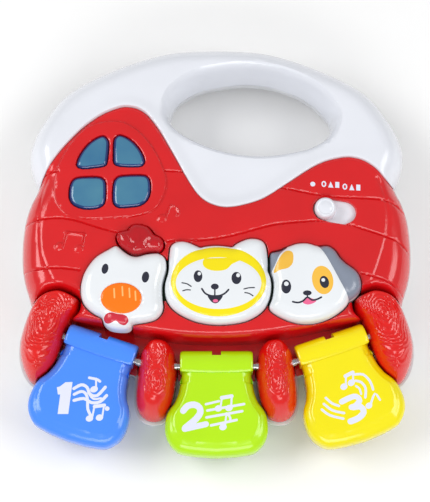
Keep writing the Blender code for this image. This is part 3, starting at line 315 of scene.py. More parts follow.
def surface(name, outline, top, bottom, rings, spacing, mats, body, holes=(), marks=(), lines=(), extra=(),
            turn=None, angle=32):
    """Closed solid over a plane region. marks are (outline, material number) areas given another material: print,
    painted beak highlights, and the lit centres of the window panes; lines are feature outlines that get their own
    edges; extra are feature lines that get rows of points beside them."""
    loops = [split_long(ccw(outline), spacing * 1.6)] + [split_long(ccw(h), spacing * 1.2) for h in holes]
    pts, edges = [], []
    for loop in loops + [ccw(m[0]) for m in marks] + [ccw(q) for q in lines]:
        k = len(pts)
        pts += loop
        edges += [(k + i, k + (i + 1) % len(loop)) for i in range(len(loop))]
    inner = []
    for d in rings:
        for k, loop in enumerate(loops):
            inner += offset(loop, -d if k == 0 else d)
    for line, widths in extra:
        fine = split_long(line, spacing * 0.8, closed=False)
        for w in widths:
            inner += shift(fine, w)
    lo, hi = np.min(loops[0], axis=0), np.max(loops[0], axis=0)
    nx, ny = int((hi[0] - lo[0]) / spacing) + 2, int((hi[1] - lo[1]) / (spacing * 0.866)) + 2
    grid = [(lo[0] + (i + 0.5 * (j % 2)) * spacing,
             lo[1] + j * spacing * 0.866) for j in range(ny) for i in range(nx)]
    near = np.zeros(len(grid), bool)
    for loop in loops:
        near |= reach(grid, loop) < (rings[-1] if rings else 0) + 0.4 * spacing
    grid = [g for g, n in zip(grid, near) if not n]
    cells, kept = {}, []
    for p in [q for q in inner] + grid:
        c = (round(p[0] / (0.3 * spacing)), round(p[1] / (0.3 * spacing)))
        if c not in cells:
            cells[c] = True
            kept.append(p)
    keep = within(kept, loops[0])
    for hole in loops[1:]:
        keep &= ~within(kept, hole)
    for loop in loops:
        keep &= reach(kept, loop) > 0.5 * (rings[0] if rings else spacing)
    pts += [p for p, k in zip(kept, keep) if k]
    vs, _, faces, *_ = delaunay_2d_cdt([Vector(p) for p in pts], edges, [], 0, 1e-4)
    flat = np.array([(v[0], v[1]) for v in vs])
    tri = np.array([f[:3] for f in faces])
    mid = flat[tri].mean(1)
    (ax, ay), (bx, by) = (flat[tri[:, 1]] - flat[tri[:, 0]]).T, (flat[tri[:, 2]] - flat[tri[:, 0]]).T
    ok = within(mid, loops[0]) & (np.abs(ax * by - ay * bx) > 1e-4)
    for hole in loops[1:]:
        ok &= ~within(mid, hole)
    tri, mid = tri[ok], mid[ok]
    paint = np.zeros(len(tri), int)
    for loop, m in marks:
        paint[within(mid, loop)] = m
    up = top(flat) if callable(top) else np.full(len(flat), float(top))
    down = bottom(flat) if callable(bottom) else np.full(len(flat), float(bottom))
    used = np.unique(tri)
    remap = np.full(len(flat), -1)
    remap[used] = np.arange(len(used))
    n = len(used)
    tri = remap[tri]
    verts = [(*flat[i], up[i]) for i in used] + [(*flat[i], down[i]) for i in used]
    seen = {(int(a), int(b)) for t in tri for a, b in ((t[0], t[1]), (t[1], t[2]), (t[2], t[0]))}
    out = [tuple(int(i) for i in t) for t in tri] + [tuple(int(i) + n for i in t[::-1]) for t in tri]
    index = list(paint) + [0] * len(tri)
    for a, b in seen:
        if (b, a) not in seen:
            out.append((b, a, a + n, b + n))
            index.append(0)
    if turn:
        centre, degrees = turn
        flat2 = to_world([(v[0], v[1]) for v in verts], centre, degrees)
        verts = [(x, y, v[2]) for (x, y), v in zip(flat2, verts)]
    return put(name, verts, out, mats, body, index, angle)


def lathe(name, profile, centre, mats, body, n=40, angle=32):
    verts, faces, rows = [], [], []
    for r, z in profile:
        rows.append([len(verts)] if r < 1e-6 else list(range(len(verts), len(verts) + n)))
        verts += [(centre[0], centre[1], z)] if r < 1e-6 else [
            (centre[0] + r * math.cos(2 * math.pi * i / n), centre[1] + r * math.sin(2 * math.pi * i / n), z)
            for i in range(n)]
    for a, b in zip(rows, rows[1:]):
        for i in range(n):
            j = (i + 1) % n
            if len(a) == 1:
                faces.append((a[0], b[j], b[i]))
            elif len(b) == 1:
                faces.append((a[i], a[j], b[0]))
            else:
                faces.append((a[i], a[j], b[j], b[i]))
    return put(name, verts, faces, mats, body, angle=angle)


def bar(name, p0, p1, rings, mats, body, n=32):
    """Round bar with a profile of (share of the length, radius)."""
    a, b = Vector(p0), Vector(p1)
    axis = b - a
    u = axis.orthogonal().normalized()
    w = axis.normalized().cross(u)
    verts = [tuple(a + axis * t + r * (math.cos(q) * u + math.sin(q) * w)) for t, r in rings
             for q in (2 * math.pi * i / n for i in range(n))]
    faces = [(k * n + i, k * n + (i + 1) % n, (k + 1) * n + (i + 1) % n, (k + 1) * n + i)
             for k in range(len(rings) - 1) for i in range(n)]
    faces += [tuple(range(n))[::-1], tuple(range((len(rings) - 1) * n, len(rings) * n))]
    return put(name, verts, faces, mats, body)


def cutter(obj, tool):
    mod = obj.modifiers.new("cut", "BOOLEAN")
    mod.operation, mod.object, mod.solver = "DIFFERENCE", tool, "EXACT"
    graph = bpy.context.evaluated_depsgraph_get()
    obj.data = bpy.data.meshes.new_from_object(obj.evaluated_get(graph))
    obj.modifiers.clear()
    bpy.data.objects.remove(tool, do_unlink=True)


def prism(loop, z0, z1):
    loop = ccw(loop)
    m = len(loop)
    faces = [tuple(range(m))[::-1], tuple(range(m, 2 * m))]
    faces += [(i, (i + 1) % m, m + (i + 1) % m, m + i) for i in range(m)]
    return put("tool", [(x, y, z) for z in (z0, z1) for x, y in loop], faces, [], None)


# ------------------------------------------------------------------ materials
LOOKS = {}


def plastic(name, rgb, rough=0.2, coat=0.25, bump=0.04, grain=700.0, mottle=0.05, metal=0.0, trans=0.0, spots=None):
    mat = bpy.data.materials.new(name)
    mat.use_nodes = True
    nt = mat.node_tree
    bsdf = nt.nodes["Principled BSDF"]
    bsdf.inputs["Metallic"].default_value = metal
    bsdf.inputs["Coat Weight"].default_value = coat
    bsdf.inputs["Coat Roughness"].default_value = 0.08
    bsdf.inputs["Transmission Weight"].default_value = trans
    bsdf.inputs["IOR"].default_value = 1.48
    where = nt.nodes.new("ShaderNodeTexCoord")
    slow = nt.nodes.new("ShaderNodeTexNoise")
    slow.inputs["Scale"].default_value = 35.0
    slow.inputs["Detail"].default_value = 3.0
    fine = nt.nodes.new("ShaderNodeTexNoise")
    fine.inputs["Scale"].default_value = grain
    fine.inputs["Detail"].default_value = 4.0
    ramp = nt.nodes.new("ShaderNodeValToRGB")
    low, high = [c * (1 - mottle) for c in rgb], [min(1, c * (1 + mottle)) for c in rgb]
    ramp.color_ramp.elements[0].color = (*low, 1)
    ramp.color_ramp.elements[1].color = (*(spots or high), 1)
    ramp.color_ramp.elements[0].position, ramp.color_ramp.elements[1].position = 0.3, 0.7
    span = nt.nodes.new("ShaderNodeMapRange")
    span.inputs["To Min"].default_value, span.inputs["To Max"].default_value = rough * 0.8, rough * 1.25
    rise = nt.nodes.new("ShaderNodeBump")
    rise.inputs["Strength"].default_value = bump
    rise.inputs["Distance"].default_value = 0.0004
    link = nt.links.new
    link(where.outputs["Object"], slow.inputs["Vector"])
    link(where.outputs["Object"], fine.inputs["Vector"])
    link(slow.outputs["Fac"], ramp.inputs["Fac"])
    link(ramp.outputs["Color"], bsdf.inputs["Base Color"])
    link(slow.outputs["Fac"], span.inputs["Value"])
    link(span.outputs["Result"], bsdf.inputs["Roughness"])
    link(fine.outputs["Fac"], rise.inputs["Height"])
    link(rise.outputs["Normal"], bsdf.inputs["Normal"])
    LOOKS[name] = mat
    return mat


RED = plastic("casing_red", (0.66, 0.006, 0.009), 0.2, 0.4, 0.03)
LEG_RED = plastic("leg_red", (0.72, 0.006, 0.004), 0.2, 0.4, 0.05)
WHITE = plastic("roof_white", (0.77, 0.79, 0.85), 0.2, 0.3, 0.02, mottle=0.02)
BACK = plastic("back_white", (0.72, 0.73, 0.75), 0.33, 0.1, 0.1, grain=1400, mottle=0.02)
CAP = plastic("button_white", (0.8, 0.83, 0.86), 0.18, 0.35, 0.02, mottle=0.02)
LENS = plastic("lens_blue", (0.035, 0.18, 0.37), 0.08, 0.5, 0.02, trans=0.15, spots=(0.08, 0.27, 0.4))
# darker copy of the lens blue, painted shade: it colours the outer band, walls and underside of each window pane and
# the flange plate behind them
LENS_SHADED_BLUE = plastic("lens_rim", (0.008, 0.05, 0.2), 0.1, 0.5, 0.02, trans=0.1, mottle=0.15)
COMB_RED = plastic("comb_red", (0.4, 0.0, 0.004), 0.08, 0.4, 0.02, trans=0.06, spots=(0.6, 0.001, 0.01))
BLUE = plastic("key_blue", (0.065, 0.265, 0.96), 0.2, 0.3, 0.02, mottle=0.02)
GREEN = plastic("key_green", (0.45, 0.8, 0.002), 0.2, 0.3, 0.02, mottle=0.02)
YELLOW = plastic("key_yellow", (0.88, 0.77, 0.0), 0.2, 0.3, 0.02, mottle=0.02)
STEEL = plastic("steel", (0.62, 0.62, 0.64), 0.22, 0.0, 0.05, grain=2500, metal=1.0)
RUBBER = plastic("rubber_grey", (0.16, 0.16, 0.17), 0.75, 0.0, 0.25, grain=1800)
BLACK = plastic("black_plastic", (0.02, 0.02, 0.022), 0.45, 0.0, 0.1, grain=1500)
BOARD = plastic("board_green", (0.015, 0.16, 0.06), 0.35, 0.2, 0.08, grain=500, spots=(0.03, 0.24, 0.1))
PAPER = plastic("cone_black", (0.03, 0.03, 0.03), 0.85, 0.0, 0.4, grain=1200)
CELL = plastic("cell_wrap", (0.04, 0.16, 0.1), 0.3, 0.2, 0.02)
LED = plastic("led_clear", (0.8, 0.25, 0.15), 0.08, 0.2, 0.01, trans=0.6)
PRINT = plastic("print_white", (0.74, 0.77, 0.9), 0.32, 0.1, 0.05, mottle=0.02)
SUN = plastic("print_yellow", (0.9, 0.74, 0.0), 0.25, 0.2, 0.02, mottle=0.03)
ORANGE = plastic("print_orange", (1.0, 0.19, 0.002), 0.22, 0.15, 0.02, mottle=0.03)
# pale orange used only for the painted highlight strokes on the chicken's beak
BEAK_HIGHLIGHT_ORANGE = plastic("painted_highlight_orange", (1.0, 0.5, 0.16), 0.22, 0.3, 0.02, mottle=0.03)
INK = plastic("print_dark", (0.02, 0.022, 0.04), 0.25, 0.2, 0.02)
SCARLET = plastic("print_scarlet", (0.6, 0.02, 0.045), 0.22, 0.3, 0.02)
AMBER = plastic("print_amber", (0.88, 0.5, 0.06), 0.25, 0.2, 0.02)
GREY = plastic("print_grey", (0.24, 0.275, 0.35), 0.25, 0.3, 0.02)
PINK = plastic("print_pink", (0.82, 0.14, 0.3), 0.25, 0.2, 0.02)

# ------------------------------------------------------------------ shared curves and heights
EAVES_LINE = smooth(EAVES, 3, closed=False)
RIGHT_SIDE = smooth([(90, 30)] + SIDE_R, 4, closed=False)
LEFT_SIDE = mirror(RIGHT_SIDE)
FOOT_LINE = smooth(FOOT_R + [(0, -50.4)] + mirror(FOOT_R)[::-1], 4, closed=False)
FACE = ccw(EAVES_LINE + RIGHT_SIDE[1:-1] + FOOT_LINE + LEFT_SIDE[::-1][1:-1])
ROOF_OUT = smooth(ROOF_R, 4, closed=False)
ROOF_LOOP = ccw(mirror(ROOF_OUT)[::-1][:-1] + ROOF_OUT + shift(EAVES_LINE, 0.25)[::-1])
GRIP_LOOP = smooth(GRIP, 5)
BEZEL_LOOP = smooth(BEZEL, 3)
CASE = ccw(both(
    smooth(ROOF_R + SIDE_R + LOBES_R[:10], 3, closed=False) + [(76.1, -53), (39.7, -65.5)]
    + smooth(LOBES_R[12:23], 3, closed=False) + [(9, -68)]))
LEGS = {"inner_left": mirror(smooth(LEG_IN, 4)), "inner_right": smooth(LEG_IN, 4),
        "outer_left": mirror(smooth(LEG_OUT, 4)), "outer_right": smooth(LEG_OUT, 4)}
KEYS = {"blue": ((-SIDE_KEY[0], SIDE_KEY[1]), -KEY_ANGLE, 1.07, BLUE),
        "green": (MID_KEY, 0.0, 1.0, GREEN), "yellow": (SIDE_KEY, KEY_ANGLE, 1.07, YELLOW)}
along = (math.cos(math.radians(SWITCH_ANGLE)), math.sin(math.radians(SWITCH_ANGLE)))
SLOT = stadium(SWITCH_FROM, (SWITCH_FROM[0] + SWITCH_RUN * along[0], SWITCH_FROM[1] + SWITCH_RUN * along[1]), 5.9)
GROOVES = [
    [(-96, 8.2), (-91, 8.9), (-86.8, 9.3), (-79.4, 9.9), (-73, 9.3), (-67.1, 7.8), (-59.6, 5.2), (-52.2, 2.8), (-49,
        2)],
    [(-96.5, -15.5), (-88.3, -16.4), (-81, -15.9), (-73.7, -16.2), (-66.5, -17.3)],
    [(-92.5, 31.5), (-87.5, 33), (-82, 34.2), (-79, 34.4)],
    [(-25.5, 34.3), (-17, 33.9)],
    [(-24.2, -3), (-17.8, -2.4), (-8.1, -2.4), (-0.7, -1.6), (9, 0.4), (18.9, 3.3), (28.7, 5.9), (41, 7.4),
     (50.8, 7.9), (58.1, 7.4), (65.5, 6.1), (72.7, 3.8), (80, 1.4), (88, -1.6), (94, -5.5)],
    [(32.4, 25.2), (41.2, 23.4), (51.1, 21.5), (60.9, 20.5), (70.8, 20.2), (80.6, 19.7), (87, 18.2), (93, 14.7)],
    [(70.2, -18.7), (74.6, -19.7), (79.5, -21.2), (85.2, -23.7), (92, -27.8)]]
GROOVES = [smooth(g, 3, closed=False) for g in GROOVES]
CREASES = [smooth(g, 3, closed=False) for g in (
    [(-84, 31), (-86.3, 25), (-87.3, 17), (-87.5, 8.6), (-86.5, -4.3), (-84.2, -12), (-81.5, -18), (-79, -23)],
    [(80, 31), (82.8, 24.4), (84.2, 16.5), (84, 6), (82.7, -1.7), (80.3, -9.5), (77.6, -17.1), (74.6, -24)])]
LEG_CUTS = [offset(LEGS[k], 0.3) for k in ("outer_left", "outer_right")]
NOTES = [oval(-76.9, -5, 2.3, 1.9, 15), oval(-67.4, -6.4, 2.3, 1.9, 15), stroke([(-75.1, -4.6), (-73.3, 2.2)], 0.9),
         stroke([(-65.6, -6), (-64.9, 1.2)], 0.9), stroke([(-73.6, 1.9), (-64.9, 0.9)], 1.9),
         oval(-26.8, 9, 2.4, 2.0, 20), stroke([(-25, 9.5), (-22.9, 15.4)], 0.9),
         stroke([(-23, 15.2), (-20.6, 14.9), (-18.6, 12.6), (-19.4, 10.4)], 1.1)]


def face_height(p, plain=False):
    side = np.minimum(reach(p, RIGHT_SIDE, False), reach(p, LEFT_SIDE, False))
    crown = CROWN * np.maximum(0, 1 - (p[:, 0] / 86) ** 2) * np.maximum(0, 1 - ((p[:, 1] + 2) / 62) ** 2)
    z = PART_Z + 1 + (FACE_Z - PART_Z - 1) * ell(side / 12) + crown
    z = np.minimum(z, 30 + (z - 30) * ell(reach(p, FOOT_LINE, False) / 3.5))
    if plain:
        return z
    bezel = depth(p, BEZEL_LOOP)
    z = z + 1.1 * step((bezel + 0.4) / 0.9)
    for g in GROOVES:
        z = z - 0.95 * np.exp(-(reach(p, g, False) / 0.45) ** 2)
    for g in CREASES:
        z = z - 0.4 * np.exp(-(reach(p, g, False) / 0.6) ** 2)
    flat = z
    for n in NOTES:
        z = np.maximum(z, flat + 0.9 * step((depth(p, n) + 0.3) / 1.0))
    eaves = reach(p, EAVES_LINE, False)
    z = z - 0.5 * (1 - step(eaves / 1.6))
    for loop in LEG_CUTS:
        z = np.minimum(z, 27.5 + (z - 27.5) * ell(reach(p, loop) / 4))
    for loop in HOLES:
        z = z - 0.7 * (1 - ell(reach(p, loop) / 0.8))
    return z


# the buttons share one opening, joined across the two gaps between neighbours
SEAMS = [[(-27.5, -33), (-23, -33), (-23, -12), (-27.5, -12)],
         [(24, -35.5), (28.5, -35.5), (28.5, -10.5), (24, -10.5)]]
BUTTON_HOLE = region([offset(smooth(q, 3), 0.5) for q in (CHICKEN, COMB, CAT, DOG)] + SEAMS)
HOLES = [offset(smooth(q, 2), 0.3) for q in PANES] + [BUTTON_HOLE, SLOT]

# ------------------------------------------------------------------ red front casing
LABELS = [(oval(47.7, 27.2, 1.25, 1.25), 1)]
for x0, y0 in ((53.2, 27.3), (63.6, 26.0)):
    LABELS += [(oval(x0, y0, 1.2, 1.6), 1), (oval(x0, y0, 0.55, 0.9), 0),
               ([(x0 + 2.1, y0 - 1.8), (x0 + 4.7, y0 - 1.9), (x0 + 3.4, y0 + 1.4)], 1),
               ([(x0 + 5.6, y0 - 1.9), (x0 + 7.6, y0 - 2), (x0 + 7.7, y0 + 1.1), (x0 + 5.7, y0 + 1.2)], 1)]


def front_bottom(p):
    wall = np.minimum(np.minimum(reach(p, RIGHT_SIDE, False), reach(p, LEFT_SIDE, False)), reach(p, FOOT_LINE, False))
    for loop in LEG_CUTS:
        wall = np.minimum(wall, reach(p, loop))
    top = face_height(p, True)
    return np.where(wall < 2.05, PART_Z + 0.02, np.maximum(top - 2.4, PART_Z + 0.02))


face_loop = region([FACE], LEG_CUTS)
front = surface("front_casing_shell", face_loop, face_height, front_bottom,
                (0.25, 0.6, 1.1, 1.8, 2.3, 3, 4, 5.4, 7, 9, 11.5), 1.15, [RED, PRINT], "casing",
                holes=HOLES, marks=LABELS, lines=NOTES + [offset(n, 0.3) for n in NOTES],
                extra=[(g, (-0.9, -0.45, 0, 0.45, 0.9)) for g in GROOVES]
                + [(g, (-1.1, -0.5, 0, 0.5, 1.1)) for g in CREASES]
                + [(BEZEL_LOOP + BEZEL_LOOP[:1], (-0.6, -0.2, 0.2, 0.6))])
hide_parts("front_casing")
shelf_r = [(86, -36), (84, -45), (76.1, -53), (39.7, -65.5), (38.6, -64.8), (38.6, -60), (19, -60), (18.8, -68)]
surface("front_casing_shelf", both([(0, -47), (60, -40)] + shelf_r), 15.6, 14.02, (0.4,), 3.0,
        [RED, PRINT], "casing",
        holes=[to_world([(-5.2, -3), (5.2, -3), (5.2, 4.4), (-5.2, 4.4)], k[0], k[1]) for k in KEYS.values()])

# ------------------------------------------------------------------ white roof with the handle
EAVES_UP = shift(EAVES_LINE, 0.25)


def roof_side(p):
    return np.minimum(reach(p, ROOF_OUT, False), reach(p, mirror(ROOF_OUT), False))


def roof_height(p):
    out = roof_side(p)
    hole, lip = reach(p, GRIP_LOOP), reach(p, EAVES_UP, False)
    z = PART_Z + 1 + 19.6 * ell(out / 13)
    z = np.minimum(z, PART_Z + 3 + 17.6 * ell(hole / 5.5))
    under = PART_Z + 1 + 18.5 * ell(out / 12) + 1.5 * np.maximum(0, 1 - (p[:, 0] / 86) ** 2)
    blend = step(lip / 7)
    z = z * blend + np.maximum(z, under + 0.9) * (1 - blend)
    return z - 0.9 * (1 - ell(lip / 1.1))


def roof_bottom(p):
    wall = np.minimum(roof_side(p), reach(p, GRIP_LOOP))
    return np.where(wall < 2.3, PART_Z + 0.02, np.maximum(roof_height(p) - 2.6, PART_Z + 0.02))


roof = surface("roof_cover_shell", ROOF_LOOP, roof_height, roof_bottom,
               (0.25, 0.6, 1.1, 1.8, 2.5, 3.5, 4.8, 6.4, 8.5, 11), 1.7, [WHITE], "casing",
               holes=[GRIP_LOOP])
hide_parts("roof_cover")

# ------------------------------------------------------------------ back casing
screw_spots = list(CASE_SCREWS) + list(LEG_SCREWS.values())
grille = [(0.0, 0.0)] + [(r * math.cos(2 * math.pi * (i + 0.5 * (r > 5)) / n),
                          r * math.sin(2 * math.pi * (i + 0.5 * (r > 5)) / n))
                         for r, n in ((4.0, 6), (8.0, 12), (12.0, 18)) for i in range(n)]
DOOR = [(-31.4, -1.2), (31.4, -1.2), (31.4, 11.6), (39.4, 11.6), (39.4, 20.4), (31.4, 20.4), (31.4, 33.2), (-31.4,
    33.2)]


def back_bottom(p):
    edge = np.minimum(reach(p, CASE), reach(p, GRIP_LOOP))
    z = PART_Z - 1 - (PART_Z - 1 - FLOOR_Z) * ell(edge / 6) + 1.6 * np.clip((p[:, 1] - 78) / 12, 0, 1)
    for x, y in screw_spots + FEET:
        d = np.hypot(p[:, 0] - x, p[:, 1] - y)
        z = np.where(d < (3.35 if (x, y) not in FEET else 5.3), 3.4 if (x, y) not in FEET else 2.7, z)
    return np.where(within(p, DOOR), 4.1, z)


def back_top(p):
    edge = np.minimum(reach(p, CASE), reach(p, GRIP_LOOP))
    deck = np.zeros(len(p), bool)
    for loop in LEGS.values():
        deck |= within(p, loop)
    return np.where((edge < 2.4) | deck, PART_Z - 0.3, np.maximum(back_bottom(p), 2.2) + 2.3)


rounds = [oval(x, y, r, r, n=32) for x, y in screw_spots for r in (3.3, 3.4)]
rounds += [oval(x, y, r, r, n=36) for x, y in FEET for r in (5.25, 5.35)]
back = surface("back_casing_shell", CASE, back_top, back_bottom, (0.3, 0.8, 1.5, 2.3, 2.6, 3.4, 4.4, 5.6), 2.6,
               [BACK], "casing",
               holes=[GRIP_LOOP] + [oval(SPEAKER[0] + a, SPEAKER[1] + b, 1.05, 1.05, n=12) for a, b in grille],
               lines=rounds + [DOOR, offset(DOOR, -0.1)])
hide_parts("back_casing")

# ------------------------------------------------------------------ legs with a carved crown
for side, loop in LEGS.items():
    start, end = (-72, -88) if "inner" in side else (-54, -70)
    sign = -1 if "left" in side else 1
    cx, cy = (sign * 29.4, -66) if "inner" in side else (sign * 83.5, -46)

    def hump(p, loop=loop, start=start, end=end, side=side, sign=sign, cx=cx, cy=cy):
        d = reach(p, loop)
        t = np.clip((start - p[:, 1]) / (start - end), 0, 1)
        high = step((p[:, 1] + (62 if "inner" in side else 46)) / 14)
        z = PART_Z + 1.3 + (18.4 - 7.5 * t * t) * ell(d / (9 - 6.2 * high))
        u, v = (p[:, 0] - cx) * sign, p[:, 1] - cy
        if "inner" in side:
            wave = np.minimum(np.hypot(1.2 * u, 0.62 * (v - 7.5)), np.hypot(1.1 * u + 1, 0.62 * (v + 6)) + 0.4)
            wave = 0.95 * wave + 0.25 * np.sin(0.8 * v + 0.5 * u)
            band = step((d - 3.2) / 1.2) * step((p[:, 1] + 80) / 3) * step((-51.5 - p[:, 1]) / 2)
        else:
            a, b = u * 0.88 + v * 0.3, v * 0.88 - u * 0.3
            wave = 1.25 * np.sqrt(a * a + (0.5 * (b - 7)) ** 2 + 0.3) + 0.5 * np.sin(0.5 * b + 0.35 * a)
            band = step((d - 2.4) / 1.4) * step((p[:, 1] + 66) / 4)
        if side == "outer_right":
            z = np.where(depth(p, smooth(DOG, 3)) > -0.6, np.minimum(z, 26.2), z)
            band = band * (depth(p, smooth(DOG, 3)) < -1.2)
        ridge = 1 - np.abs(np.mod(wave * 0.75, 1.0) - 0.5) * 2
        return z + 0.55 * band * (ridge ** 1.5 - 0.4)

    rooms = []
    for centre, turn, stretch, _ in KEYS.values():
        half = [(x + 1.0, (y * stretch if y < -10 else y) - (1.0 if y < -36 else 0)) for x, y in KEY_HALF]
        half[0] = (18.9, 9)
        room = to_world(half + [(0, KEY_TIP * stretch - 1)] + mirror(half)[::-1], centre, turn)
        if (within(room, loop) | (reach(room, loop) < 2)).any():
            rooms.append(room)
    leg = surface("leg_%s_shell" % side, region([loop], rooms), hump, PART_Z + 0.3, (0.2, 0.5, 1, 1.6, 2.3), 0.5,
                  [LEG_RED], "casing")
    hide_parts("leg_" + side)

# ------------------------------------------------------------------ keys
ONE = [(-76.7, -73.5), (-75.3, -73.2), (-72.6, -71.1), (-69.2, -71), (-70.9, -86.4), (-76, -86.4), (-75, -77),
       (-76.1, -77)]
PRINTS = {
    "blue": [ONE, stroke([(-68.5, -74.2), (-65, -72.4), (-62.2, -73.6), (-60.6, -77), (-57.2, -77.6), (-53.4,
        -73.6)], 1.5),
             stroke([(-68.3, -77), (-65, -75.6), (-62.8, -76.6), (-61.8, -79.6), (-61.6, -84), (-60.2, -87)], 1.4),
             stroke([(-68.3, -79.9), (-63.6, -79), (-59.9, -81), (-55.8, -80.6), (-52.7, -77.6)], 1.5),
             stroke([(-61.6, -76.2), (-59, -79.2), (-55.4, -78.9)], 1.0),
             oval(-58.8, -74.6, 1.9, 1.5, 20), stroke([(-57.8, -74.6), (-57.9, -69.4)], 0.9),
             stroke([(-61.2, -69), (-57.6, -69.8), (-56, -70.8)], 1.3),
             oval(-60.7, -88.6, 1.8, 1.5, 15), oval(-55.9, -88.2, 1.8, 1.5, 15), stroke([(-59.4, -88.2), (-58.4,
                 -82.6)], 0.9),
             stroke([(-54.6, -87.8), (-53.8, -82.2)], 0.9), stroke([(-58.4, -82.9), (-53.7, -82.3)], 1.7),
             oval(-52.3, -83.9, 1.1, 1.1)],
    "green": [stroke([(-15.9, -85), (-13.9, -82.8), (-10.8, -82.1), (-8.3, -83.4), (-7.8, -86), (-9.8, -88.9),
                      (-12.8, -91.5), (-15, -93.3)], 3.1), stroke([(-15.2, -93.7), (-5, -91.4)], 2.8),
              stroke([(-5.1, -81.9), (1.2, -80.4)], 1.1), stroke([(-4.4, -84.9), (13.2, -81.8)], 1.2),
              stroke([(-4.8, -88.2), (12.3, -85.2)], 1.2), stroke([(-2.6, -92), (9.6, -89.4)], 1.2),
              oval(0.9, -83.9, 1.8, 1.5, 15), oval(6, -83.7, 1.8, 1.5, 15), stroke([(1.9, -83.7), (2.6, -78.6)], 0.9),
              stroke([(7, -83.2), (7.3, -78)], 0.9), stroke([(2.5, -78.8), (7.3, -78)], 1.8),
              oval(3.1, -92.8, 1.8, 1.5, 15), stroke([(4, -92.5), (4.8, -86.2)], 0.9),
              stroke([(4.6, -86.4), (6.2, -87.6), (6.8, -90)], 1.1)],
    "yellow": [stroke([(60, -80.6), (63.6, -78.8), (66.8, -78), (68.6, -80), (66.6, -82.4), (64.6, -83.2)], 2.7),
               stroke([(65.2, -83.2), (69, -83), (70.4, -85.6), (67.8, -88.4), (64, -90)], 2.9),
               stroke([(52.4, -78.8), (55.2, -81.3), (58.6, -82.6)], 1.2), stroke([(51.4, -81.7), (55.4, -84.7),
                   (61, -86)], 1.2),
               stroke([(50.4, -84.4), (54.2, -87.1), (60.6, -88.7)], 1.2),
               stroke([(66.6, -67.4), (70.6, -67.4), (73.8, -70.6), (75.2, -74.6)], 1.2),
               stroke([(66.8, -70.4), (69.6, -71.2), (71.6, -74), (71.4, -78.4)], 1.2),
               stroke([(67, -73), (68.6, -74.2), (69.4, -76.8)], 1.0),
               oval(61.2, -73.3, 1.8, 1.5, 35), oval(64.8, -71.4, 1.8, 1.5, 35), stroke([(62.2, -73), (62.2, -68)],
                   0.9),
               stroke([(65.8, -71.2), (65.6, -66.4)], 0.9), stroke([(62, -68.2), (65.6, -66.4)], 1.8),
               oval(73, -82.4, 1.7, 1.4, 35), stroke([(73.8, -82), (76, -76.6), (78.4, -79.6)], 1.0)]}
